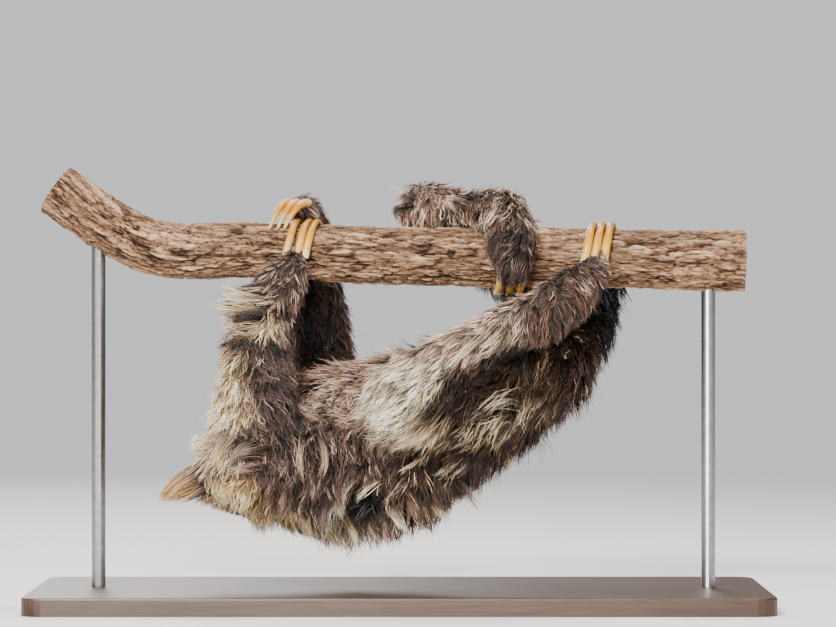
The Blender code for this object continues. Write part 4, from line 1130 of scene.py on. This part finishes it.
# single tufts that stand out: their line as x, z and height over the skin, seen from -Y; how many locks,
# how wide at the root and the tip, half width of a lock (all in millimetres), root and tip colour
wisps = [
    # wrist: a ragged frill of pale strands over a dark streak
    ([(-116, 300, 4), (-138, 306, 7), (-158, 304, 9), (-176, 311, 10)], 42, (11, 3.2), 0.42,
     "greyBuff white"),
    ([(-112, 290, 5), (-136, 296, 8), (-162, 295, 10), (-186, 300, 12)], 36, (7, 2.2), 0.42, "umber cream"),
    ([(-108, 287, 7), (-132, 291, 9), (-156, 286, 11), (-172, 283, 12)], 50, (5, 2.2), 0.5,
     "dark redBrown"),
    # elbow: wavy pale strands over the head
    ([(-166, 178, 6), (-180, 169, 9), (-192, 163, 11), (-204, 166, 12)], 40, (10, 4), 0.38,
     "greyBuff white"),
    ([(-156, 180, 8), (-170, 168, 11), (-177, 154, 12), (-171, 143, 12)], 44, (9, 3), 0.42,
     "greyBuff cream"),
    # brown tuft under the elbow and long strands beside it
    ([(-121, 157, 10), (-139, 162, 13), (-155, 157, 14), (-166, 142, 13)], 69, (12, 1.6), 0.49,
     "umber greyBrown"),
    ([(-118, 146, 10), (-134, 146, 13), (-150, 145, 14), (-165, 141, 13)], 45, (9, 1.6), 0.45,
     "rosyBrown greyBrown"),
    ([(-91, 176, 14), (-97, 159, 16), (-100, 144, 16), (-96, 130, 16)], 36, (4.5, 1.6), 0.41,
     "greyBrown greyBuff"),
    ([(-82, 180, 14), (-73, 162, 16), (-74, 146, 16), (-80, 132, 16)], 36, (4.5, 1.6), 0.41,
     "rosyGrey greyBuff"),
    ([(-118, 128, 14), (-109, 114, 16), (-113, 100, 16)], 36, (4.5, 1.6), 0.45, "umber rosyGrey"),
    # nape
    ([(-152, 112, 10), (-146, 94, 10), (-137, 73, 8)], 51, (10.5, 1.3), 0.41, "buff cream"),
    ([(-140, 104, 10), (-131, 88, 10), (-124, 74, 8)], 36, (7.5, 1.3), 0.41, "buff cream"),
    # curls round the hollow under the belly, and the points of the fringe
    ([(-37, 139, 15), (-53, 121, 19), (-61, 105, 21), (-52, 88, 20)], 64, (7, 2), 0.48, "white white"),
    ([(-10, 128, 15), (-24, 125, 17), (-39, 118, 18), (-46, 108, 17)], 33, (4.5, 1.3), 0.41, "cream white"),
    ([(-99, 106, 13), (-92, 86, 14), (-84, 67, 12)], 45, (7.5, 1.3), 0.45, "buff white"),
    ([(-60, 96, 14), (-47, 80, 14), (-40, 63, 12)], 45, (7.5, 1.3), 0.45, "buff white"),
    ([(-16, 106, 14), (-2, 90, 14), (10, 75, 12)], 45, (7.5, 1.3), 0.45, "greyBuff white"),
    # painted shade: a sheet of black locks laid into the hollow under the belly
    ([(-22, 112, 10), (-34, 106, 14), (-46, 96, 14)], 60, (10, 8), 0.7, "black black"),
    ([(22, 110, 14), (36, 98, 12), (50, 86, 10)], 39, (7.5, 1.3), 0.45, "umber cream"),
    # flank and thigh: thin pale strands over the dark, an arch of white ones, the ridge of the shin
    ([(30, 156, 13), (14, 145, 17), (-5, 138, 17)], 24, (4.5, 1.6), 0.37, "greyBuff cream"),
    ([(69, 155, 13), (50, 141, 15), (30, 130, 15)], 24, (6, 1.9), 0.37, "greyBuff cream"),
    ([(125, 194, 12), (113, 213, 16), (89, 213, 17), (64, 189, 15)], 26, (10, 4.5), 0.38, "greyBuff white"),
    ([(120, 181, 13), (106, 190, 16), (90, 191, 17), (68, 184, 15)], 42, (6.5, 3), 0.41, "cream white"),
    ([(100, 176, 13), (83, 176, 15), (62, 164, 15), (40, 158, 15)], 36, (6, 2.4), 0.41, "cream white"),
    ([(44, 200, 13), (24, 178, 17), (4, 166, 17), (-12, 162, 16)], 51, (7.5, 1.3), 0.41, "cream white"),
    ([(96, 281, 7), (74, 265, 9), (55, 249, 10), (38, 234, 11)], 45, (4.5, 1.9), 0.37, "greyBuff white"),
    ([(85, 150, 13), (60, 141, 16), (44, 128, 17)], 18, (8, 3), 0.35, "greyBuff white"),
    ([(12, 130, 14), (-8, 119, 17), (-20, 105, 17)], 20, (8, 3), 0.35, "greyBuff cream"),
    ([(100, 166, 13), (110, 150, 16), (113, 135, 16)], 16, (8, 3.6), 0.35, "umber cream"),
    ([(60, 122, 13), (72, 108, 16), (80, 96, 15)], 20, (8, 3), 0.35, "umber cream"),
    ([(130, 180, 12), (141, 166, 15), (146, 150, 15)], 14, (8, 3.6), 0.35, "umber greyBuff"),
    # far knee: dark wet strands between pale ones
    ([(6, 424, 6), (10, 410, 8), (14, 394, 8)], 39, (6, 1.9), 0.45, "dark umber"),
    ([(-10, 410, 6), (-6, 396, 8), (2, 384, 8)], 36, (6, 1.9), 0.45, "dark umber"),
    ([(36, 424, 6), (46, 408, 8), (58, 392, 8)], 42, (6, 1.9), 0.41, "greyBrown cream")]


# of all wisps: how many points their locks run together into and how far these lie apart, where the locks
# start and end along the line, how they scatter, wave and vary in brightness and width
wispForm = {
    "ends": 5, "endSpread": 1.4, "starts": (0.0, 0.30), "reaches": (0.62, 1.0), "rootSpread": 0.5,
    "tipSpread": 0.3, "waves": (0.4, 1.4), "bend": 0.0012, "varied": (-0.12, 0.42), "widths": (0.55, 0.95),
    "steps": 41, "rounding": 24, "leap": (-0.020, 0.010)}


def wispLine(line):
    # the wisp's line laid over the skin, and the way off the skin at each of its points
    places, ups = [], []
    depth = None
    for x, z, height in np.array(line) / 1000.0:
        hit, normal, _, _ = skinTree.ray_cast(Vector((x, -1.0, z)), Vector((0.0, 1.0, 0.0)))
        if hit is None and depth is None:
            hit, normal, _, _ = skinTree.find_nearest(Vector((x, -0.05, z)))
        elif hit is None:
            hit, normal = Vector((x, depth, z)), ups[-1]
        if depth is not None:
            # no leaps from a limb down to what lies behind it
            forward, back = wispForm["leap"]
            hit = Vector((x, min(max(hit.y, depth + forward), depth + back), z))
        depth = hit.y
        lift = Vector((0.0, -1.0, 0.0)) * 0.7 + normal * 0.3 if ups else normal
        places.append(hit + lift * height)
        ups.append(normal.copy())
    return np.array(places), np.array(ups)


def makeWisps(rng):
    rings = np.array(coat["longRings"])
    steps = np.concatenate([rings, [1.0]])
    step = steps[None, :, None]
    ends = wispForm["ends"]
    parts = []
    for marks, count, spans, width, tones in wisps:
        line, normals = wispLine(marks)
        knots = np.linspace(0.0, 1.0, len(line))
        # a smooth curve through the points: straight pieces, rounded by averaging along the line
        fine = np.linspace(0.0, 1.0, wispForm["steps"])
        curve = np.stack([np.interp(fine, knots, axis) for axis in line.T], axis=1)
        for _ in range(wispForm["rounding"]):
            curve[1:-1] = 0.5 * curve[1:-1] + 0.25 * (curve[:-2] + curve[2:])
        first = rng.uniform(*wispForm["starts"], count)[:, None]
        reach = first + (rng.uniform(*wispForm["reaches"], count)[:, None] - first) * steps[None, :]
        path = np.stack([np.interp(reach, fine, axis) for axis in curve.T], axis=2)
        up = unit(np.stack([np.interp(reach, knots, axis) for axis in normals.T], axis=2))
        height = np.interp(first, knots, [mark[2] / 1000.0 for mark in marks])[:, :, None]
        path -= up * height * (1.0 - step) ** 2
        wideRoot, wideTip = spans[0] / 1000.0, spans[1] / 1000.0
        points = rng.normal(0.0, wispForm["endSpread"] * wideTip, (ends, 3))
        start = rng.normal(0.0, wispForm["rootSpread"] * wideRoot, (count, 1, 3))
        end = points[rng.integers(0, ends, count)][:, None, :]
        end = end + rng.normal(0.0, wispForm["tipSpread"] * wideTip, (count, 1, 3))
        path += start * (1.0 - step) ** 0.8 + end * step
        waves = rng.uniform(*wispForm["waves"], (count, 1, 1)) * step + rng.random((count, 1, 3))
        path += np.sin(2.0 * math.pi * waves) * step * wispForm["bend"]
        body, tip = (np.tile(np.array(palette[name]), (count, 1)) for name in tones.split())
        bright = np.exp(rng.normal(*wispForm["varied"], count))
        widths = width / 1000.0 * rng.uniform(*wispForm["widths"], count)
        roots = path[:, 0]
        parts.append((path, up, widths, body, tip, bright, roots, skinRegions[nearestOf(skinPoints, roots)]))
    joined = [np.concatenate(items) for items in zip(*parts)]
    return buildLocks(rng, *joined, rings)


def coatMaterial():
    # hair: the lock's own colour with fine streaks along it, and a soft wet gloss
    material, tree, shader = newMaterial("wetHair")
    strip = addNode(tree, "ShaderNodeUVMap", {"uv_map": "lock"}).outputs["UV"]
    streak = addNoise(tree, stretched(tree, strip, (9.0, 1.2, 1.0)), 1.0, 2.0, 0.6)
    shade = addRamp(tree, streak, [(0.30, (0.62, 0.60, 0.58)), (0.52, unchanged), (0.75, (1.25, 1.24, 1.22))])
    colour = addMix(tree, "MULTIPLY", 1.0, pointData(tree, "coatColour", "Color"), shade)
    setShader(tree, shader, colour, Roughness=0.38, Specular_IOR_Level=0.5)
    addBump(tree, shader, streak, 0.35, 0.0006)
    return material


def coatPieces():
    # name of each piece of the coat, the triangles that carry it and the rings of its locks
    owned = skinRegions[skinTriangles[:, 0]]
    middle = skinPoints[skinTriangles].mean(axis=1)
    for number, name in enumerate(regionNames):
        rings = coat["shortRings"] if name in coat["short"] else coat["longRings"]
        if name == "trunk":
            for piece, (low, high) in coat["trunkCuts"].items():
                inside = (middle[:, 0] >= low) & (middle[:, 0] < high)
                yield piece, np.flatnonzero((owned == number) & inside), rings
        else:
            yield "coat_" + name, np.flatnonzero(owned == number), rings


def coatPiece(name, material, arrays):
    points, loops, starts, rgba, strip, patch = arrays
    mesh = meshFromArrays(name, points, loops, starts)
    addPointData(mesh, "coatColour", "FLOAT_COLOR", rgba)
    mesh.uv_layers.new(name="OFBake").data.foreach_set("uv", patch.astype(np.float32).ravel())
    mesh.uv_layers.new(name="lock").data.foreach_set("uv", strip.astype(np.float32).ravel())
    mesh.materials.append(material)
    piece = newObject(name, mesh)
    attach(piece, "root")
    triangles = len(loops) - 2 * len(starts)
    print(f"{name}: {triangles} triangles")
    return triangles


def makeCoat():
    rng = np.random.default_rng(coat["seed"])
    guides = makeGuides(rng)
    guides["draw"] = rng.random(len(guides["roots"]))
    guides["shade"] = rng.random(len(guides["roots"]))
    print("guides made:", len(guides["roots"]))
    material = coatMaterial()
    total = 0
    for name, chosen, rings in coatPieces():
        weight = skinArea[chosen] * (skinValues["density"] * skinOpen)[skinTriangles[chosen]].mean(axis=1)
        count = int(weight.sum() * 1e4)
        if count == 0:
            continue  # no skin of this region lies open
        corner, shares = scatter(rng, count, chosen, weight)
        roots = sample(skinPoints, corner, shares)
        values = {key: sample(skinValues[key], corner, shares) for key in ("depth", "width", "clump", "wave")}
        locks = makeLocks(rng, guides, roots, values, skinRegions[corner[:, 0]], rings)
        total += coatPiece(name, material, locks)
    total += coatPiece("coat_wisps", material, makeWisps(rng))
    print("coat made:", total, "triangles")


def skinMaterial():
    # the skin under the coat: the same markings, darkened as painted shade of the coat over it
    material, tree, shader = newMaterial("slothSkin")
    fine = addNoise(tree, objectPlace(tree), 420.0, 3.0, 0.65)
    shade = addRamp(tree, fine, [(0.30, (0.55, 0.52, 0.50)), (0.70, (1.15, 1.12, 1.10))])
    colour = addMix(tree, "MULTIPLY", 1.0, pointData(tree, "coatColour", "Color"), shade)
    setShader(tree, shader, colour, Roughness=0.75)
    addBump(tree, shader, fine, 0.6, 0.0012)
    return material


# painted shade: the skin takes a third of the coat's colour where hair covers it, brighter on the bare face
bareShare = np.maximum(skinValues["bare"], 0.5 * faceShare(skinPoints))
shown = skinValues["body"] * (0.32 + 0.5 * bareShare)[:, None]
rgba = np.concatenate([shown, np.ones((len(skinPoints), 1))], axis=1)
addPointData(sloth.data, "coatColour", "FLOAT_COLOR", rgba)
sloth.data.materials.append(skinMaterial())
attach(sloth, "root")
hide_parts(*regionNames)
makeCoat()


def clawMaterial():
    # horn: white at the root, ochre over the bow, pale at the tip, with fine growth lines
    material, tree, shader = newMaterial("horn")
    place = pointData(tree, "hornPlace", "Vector")
    stain = addSwing(tree, addNoise(tree, place, 3.0, 3.0), 0.16)
    moved = addMath(tree, "ADD", pointData(tree, "share"), stain)
    colour = addRamp(tree, moved, [(0.02, tone(250, 232, 180)), (0.12, tone(216, 166, 58)),
                                   (0.42, tone(182, 120, 20)), (0.80, tone(196, 142, 42)),
                                   (1.0, tone(238, 214, 150))])
    fibre = addNoise(tree, stretched(tree, place, (1.0, 14.0, 1.0)), 2.0, 3.0)
    shade = addRamp(tree, fibre, [(0.30, (0.72, 0.66, 0.58)), (0.62, unchanged)])
    setShader(tree, shader, addMix(tree, "MULTIPLY", 0.8, colour, shade), Roughness=0.34, Coat_Weight=0.2,
              Coat_Roughness=0.25)
    addBump(tree, shader, fibre, 0.25, 0.0004)
    return material


def makeClaw(setName, index, material):
    path = clawPath(setName, index, claws["rings"])
    sides = claws["sides"]
    wide, high = claws["section"]
    rows, shares, places = [], [], []
    for step, (place, radius) in enumerate(path):
        share = step / (len(path) - 1)
        along = (path[min(step + 1, len(path) - 1)][0] - path[max(step - 1, 0)][0]).normalized()
        centre = branchPointAt(place.x)
        out = Vector((0.0, place.y - centre.y, place.z - centre.z)).normalized()
        across = along.cross(out).normalized()
        out = across.cross(along).normalized()
        swell = 1.0 + 0.012 * math.sin(share * 40.0 + index)
        for side in range(sides):
            angle = 2.0 * math.pi * side / sides
            keel = 1.0 + 0.06 * math.cos(2.0 * angle)
            rows.append(place + across * (radius * wide * math.sin(angle) * swell)
                        + out * (radius * high * keel * math.cos(angle) * swell))
            shares.append(share)
            places.append((share * 6.0 + index * 3.0, math.sin(angle), math.cos(angle)))
    mesh = gridMesh(setName, np.array(rows).reshape(-1, sides, 3))
    closeEnds(mesh, sides)
    addPointData(mesh, "share", "FLOAT", np.array(shares))
    addPointData(mesh, "hornPlace", "FLOAT_VECTOR", np.array(places))
    mesh.materials.append(material)
    piece = newObject(f"{setName}_{index + 1}_horn", mesh)
    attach(piece, "root")
    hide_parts(f"{setName}_{index + 1}")


horn = clawMaterial()
for setName in ("claw_hand_right", "claw_hand_left", "claw_foot_right", "claw_foot_left"):
    for index in range(3):
        makeClaw(setName, index, horn)
print("claws made")


def barkRelief(along, u, v):
    # height of the bark: long rough plates at different heights, cracks between them, ridges along them
    seed = branch["seed"]

    def rough(length, across, shift=0.0, sway=0.0):
        return noise.noise(Vector((along * length, (u + sway) * across, (v + sway) * across + shift)))

    sway, jolt = rough(16.0, 34.0, seed) * 0.009, rough(70.0, 120.0, -seed) * 0.0035
    crossed = noise.noise(Vector((along * 30.0, u * 90.0 + seed, v * 90.0))) * 0.012
    place = Vector(((along + crossed) * 19.0 + seed, (u + sway + jolt) * 150.0, (v + sway - jolt) * 150.0))
    near, cells = noise.voronoi(place)
    plate = noise.cell(cells[0] * 3.7)
    crack = max(0.0, 1.0 - (near[1] - near[0]) / 0.12) * (0.55 + 0.45 * rough(20.0, 60.0, 9.0))
    small, _ = noise.voronoi(Vector((along * 75.0, (u + sway) * 330.0, (v + sway) * 330.0 + seed)))
    split = max(0.0, 1.0 - (small[1] - small[0]) / 0.16)
    ridges = 1.0 - abs(rough(24.0, 260.0, seed, sway)) * 2.2
    return 0.26 * (plate - 0.5) + 0.30 * ridges + 0.16 * rough(160.0, 520.0) - 0.26 * split - 0.85 * crack


def makeBranch():
    steps, sides = branch["steps"], branch["sides"]
    rows, heights, places = [], [], []

    def addRow(fraction, travelled, share):
        # one ring round the branch; a share below 1 lies on the flat cut end
        centre = branchPoint(fraction)
        along = (branchPoint(fraction + 0.01) - branchPoint(fraction - 0.01)).normalized()
        top = along.cross(Vector((0, 1, 0))).normalized()
        top *= math.copysign(1.0, top.z)
        back = top.cross(along).normalized()
        back *= math.copysign(1.0, back.y)
        radius = branchRadius(centre.x) * branch["inner"]
        for side in range(sides):
            angle = 2.0 * math.pi * side / sides
            u, v = radius * math.cos(angle), radius * math.sin(angle)
            height = barkRelief(travelled, u, v)
            swell = 0.0012 * noise.noise(Vector((travelled * 9.0, u * 20.0, v * 20.0 + 5.0)))
            grown = (radius + swell + branch["relief"] * min(height, branch["highest"])) * share
            rows.append(centre + back * (grown * math.cos(angle)) + top * (grown * math.sin(angle)))
            heights.append(height if share == 1.0 else 0.0)
            places.append((travelled, u * share, v * share))

    travelled = 0.0
    previous = branchPoint(0.0)
    for share in branch["cutRings"]:
        addRow(0.0, travelled, share)
    for step in range(steps + 1):
        centre = branchPoint(step / steps)
        travelled += (centre - previous).length
        previous = centre
        addRow(step / steps, travelled, 1.0)
    for share in reversed(branch["cutRings"]):
        addRow(1.0, travelled, share)
    mesh = gridMesh("branch_bark", np.array(rows).reshape(-1, sides, 3))
    cut = np.zeros(len(mesh.polygons), dtype=np.int32)
    capFaces = len(branch["cutRings"]) * sides
    cut[:capFaces] = 1
    cut[-capFaces:] = 1
    mesh.polygons.foreach_set("material_index", cut)
    addPointData(mesh, "relief", "FLOAT", np.array(heights))
    addPointData(mesh, "barkPlace", "FLOAT_VECTOR", np.array(places))
    closeEnds(mesh, sides, material=1)
    mesh.set_sharp_from_angle(angle=math.radians(50.0))
    mesh.materials.append(barkMaterial())
    mesh.materials.append(cutWoodMaterial())
    piece = newObject("branch_bark", mesh)
    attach(piece, "root")
    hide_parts("branch")


def barkMaterial():
    material, tree, shader = newMaterial("bark")
    place = pointData(tree, "barkPlace", "Vector")
    fibre = addNoise(tree, stretched(tree, place, (75.0, 620.0, 620.0)), 1.0, 6.0, 0.68)
    stain = addNoise(tree, stretched(tree, place, (12.0, 60.0, 60.0)), 1.0, 5.0, 0.6)
    # colour follows the bark's height: the bark's own darker fissures and paler plates, with painted shade
    # deep in the cracks and painted highlight on the highest plates
    level = addMath(tree, "ADD", pointData(tree, "relief"), addSwing(tree, fibre, 1.5))
    colour = addRamp(tree, addMath(tree, "ADD", addMath(tree, "MULTIPLY", level, 0.62), 0.50), [
        (0.04, tone(30, 20, 13)), (0.24, tone(86, 61, 42)), (0.46, tone(140, 110, 86)),
        (0.68, tone(188, 156, 126)), (0.94, tone(238, 212, 182))])
    tint = addRamp(tree, stain, [(0.32, (0.74, 0.66, 0.60)), (0.52, unchanged), (0.72, (1.12, 1.04, 0.90))])
    run = addNoise(tree, stretched(tree, place, (20.0, 150.0, 150.0)), 1.0, 5.0, 0.55)
    fissure = addRamp(tree, addMath(tree, "ABSOLUTE", addMath(tree, "SUBTRACT", run, 0.5)),
                      [(0.0, (0.16, 0.12, 0.10)), (0.012, (0.45, 0.40, 0.37)), (0.040, unchanged)])
    stained = addMix(tree, "MULTIPLY", 1.0, colour, tint)
    setShader(tree, shader, addMix(tree, "MULTIPLY", 0.9, stained, fissure), Roughness=0.88,
              Specular_IOR_Level=0.3)
    addBump(tree, shader, fibre, 1.0, 0.0024)
    return material


def cutWoodMaterial():
    # growth rings round the branch's own middle
    material, tree, shader = newMaterial("cutWood")
    flat = stretched(tree, pointData(tree, "barkPlace", "Vector"), (0.0, 1.0, 1.0))
    wander = addNoise(tree, flat, 60.0, 3.0)
    radius = addNode(tree, "ShaderNodeVectorMath", {"operation": "LENGTH"}, i0=flat).outputs["Value"]
    moved = addMath(tree, "ADD", radius, addMath(tree, "MULTIPLY", wander, 0.004))
    rings = addMath(tree, "SINE", addMath(tree, "MULTIPLY", moved, 2600.0))
    colour = addRamp(tree, addMath(tree, "ADD", addMath(tree, "MULTIPLY", rings, 0.5), 0.5), [
        (0.10, tone(112, 80, 52)), (0.45, tone(168, 130, 90)), (0.90, tone(188, 152, 108))])
    # darker pith and a rim of bark, and the grey of old wood in patches
    zone = addRamp(tree, moved, [(0.002, (0.42, 0.36, 0.30)), (0.005, unchanged), (0.0268, unchanged),
                                 (0.0280, (0.30, 0.24, 0.20))])
    grey = addRamp(tree, addNoise(tree, flat, 110.0, 4.0), [(0.35, (0.66, 0.64, 0.62)), (0.62, unchanged)])
    zoned = addMix(tree, "MULTIPLY", 1.0, colour, zone)
    setShader(tree, shader, addMix(tree, "MULTIPLY", 0.8, zoned, grey), Roughness=0.75)
    addBump(tree, shader, wander, 0.3, 0.0006)
    return material


makeBranch()
print("branch made")


def dress(name, material):
    # nodes whose shape is right keep it and get a better material
    nodes[name].data.materials.clear()
    nodes[name].data.materials.append(material)


def steelMaterial():
    material, tree, shader = newMaterial("brushedSteel")
    grain = addNoise(tree, objectPlace(tree), 160.0, 3.0)
    steel = np.array(tone(168, 168, 170))
    shade = addRamp(tree, grain, [(0.3, tuple(0.85 * steel)), (0.7, tuple(np.minimum(1.0, 1.12 * steel)))])
    setShader(tree, shader, shade, Roughness=0.32, Metallic=1.0)
    return material


nosePad = {"rings": 44, "sides": 64, "pit": 0.0026, "pitPlace": (0.0033, -0.0004),
           "pitSize": (0.00125, 0.0010), "cleft": (0.0004, 0.0005)}


def noseMaterial():
    # bare dark leather, pebbled, with near black painted shade in the nostrils and the cleft
    material, tree, shader = newMaterial("noseLeather")
    pebble = addNode(tree, "ShaderNodeTexVoronoi", Vector=objectPlace(tree), Scale=1500.0).outputs["Distance"]
    tan = addRamp(tree, pebble, [(0.1, tone(66, 50, 42)), (0.7, tone(40, 30, 26))])
    # painted shade of the nostrils and cleft, from the pit value
    dark = addMix(tree, "MIX", pointData(tree, "pit"), tan, (0.004, 0.003, 0.003))
    setShader(tree, shader, dark, Roughness=0.42)
    addBump(tree, shader, pebble, 0.4, 0.0003)
    return material


def makeNose():
    # a rounded pad, wider above, with two nostrils and a cleft under them
    size = 0.5 * np.ptp(faceAxes(meshPoints(nodes["nose"].data)) - nosePlace, axis=0)
    rings, sides = nosePad["rings"], nosePad["sides"]
    theta = math.pi * np.arange(1, rings)[:, None] / rings
    angle = 2.0 * math.pi * np.arange(sides)[None, :] / sides
    x, y, z = np.sin(theta) * np.cos(angle), np.sin(theta) * np.sin(angle), np.cos(theta) + 0.0 * angle
    across, up, out = x * size[0] * (0.90 + 0.10 * y), y * size[1], z * size[2] * 0.97
    aside, high = np.abs(across) - nosePad["pitPlace"][0], up - nosePad["pitPlace"][1]
    wide, tall = nosePad["pitSize"]
    hole = np.exp(-(aside / wide) ** 2 - ((high - 0.5 * aside) / tall) ** 2) * (z > 0.0)
    cleft = ridge(across, 0.0, nosePad["cleft"][0], 1.0) * ((z > 0.0) & (y < 0.1))
    out -= nosePad["pit"] * hole + nosePad["cleft"][1] * cleft
    local = np.stack([across, up, out], axis=2) + nosePlace
    mesh = gridMesh("nose_pad", faceMiddle + local @ faceFrame)
    # pit: where the painted shade of nostrils and cleft lies
    addPointData(mesh, "pit", "FLOAT", np.minimum(1.0, 1.4 * hole + 0.3 * cleft))
    closeEnds(mesh, sides)
    mesh.materials.append(noseMaterial())
    piece = newObject("nose_pad", mesh)
    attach(piece, "root")
    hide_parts("nose")


def boardMaterial():
    # dark stained wood, its grain along the board
    material, tree, shader = newMaterial("stainedWood")
    place = objectPlace(tree)
    figure = addNoise(tree, stretched(tree, place, (2.2, 30.0, 30.0)), 1.6, 5.0, distortion=0.6)
    pores = addNoise(tree, stretched(tree, place, (14.0, 420.0, 420.0)), 1.5, 3.0)
    colour = addRamp(tree, figure, [(0.30, tone(44, 29, 21)), (0.50, tone(74, 50, 36)),
                                    (0.68, tone(56, 37, 27))])
    dark = addRamp(tree, pores, [(0.34, (0.45, 0.42, 0.40)), (0.50, unchanged)])
    setShader(tree, shader, addMix(tree, "MULTIPLY", 0.8, colour, dark), Roughness=0.42)
    addBump(tree, shader, pores, 0.25, 0.0002)
    return material


def eyeMaterial():
    # dark brown iris round a small pupil, browner at its edge, under a wet surface
    material, tree, shader = newMaterial("wetEye")
    fibre = addNoise(tree, objectPlace(tree), 1400.0, 2.0)
    moved = addMath(tree, "ADD", pointData(tree, "fromPupil"), addSwing(tree, fibre, 0.10))
    colour = addRamp(tree, moved, [(0.20, (0.002, 0.002, 0.002)), (0.25, tone(34, 19, 12)),
                                   (0.52, tone(44, 25, 16)), (0.62, tone(30, 18, 13)),
                                   (0.80, tone(48, 34, 28))])
    setShader(tree, shader, colour, Roughness=0.07, Specular_IOR_Level=0.45)
    return material


def makeEye(name, material):
    # a smooth ball where the solid's faceted one is; it knows how far each point lies from the pupil
    look = eyeAxes(name)[0]
    mesh = bpy.data.meshes.new(name + "_ball")
    work = bmesh.new()
    bmesh.ops.create_icosphere(work, subdivisions=5, radius=eyeRadius * 0.998)
    work.to_mesh(mesh)
    work.free()
    points = meshPoints(mesh)
    addPointData(mesh, "fromPupil", "FLOAT", np.arccos(np.clip(unit(points) @ look, -1.0, 1.0)))
    setPoints(mesh, points + eyePlaces[name])
    mesh.shade_smooth()
    mesh.materials.append(material)
    piece = newObject(name + "_ball", mesh)
    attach(piece, "root")
    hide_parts(name)


makeNose()
wetEye = eyeMaterial()
for name in eyePlaces:
    makeEye(name, wetEye)
dress("stand_base", boardMaterial())
steel = steelMaterial()
dress("stand_rod_left", steel)
dress("stand_rod_right", steel)
print("eyes, nose and stand dressed")
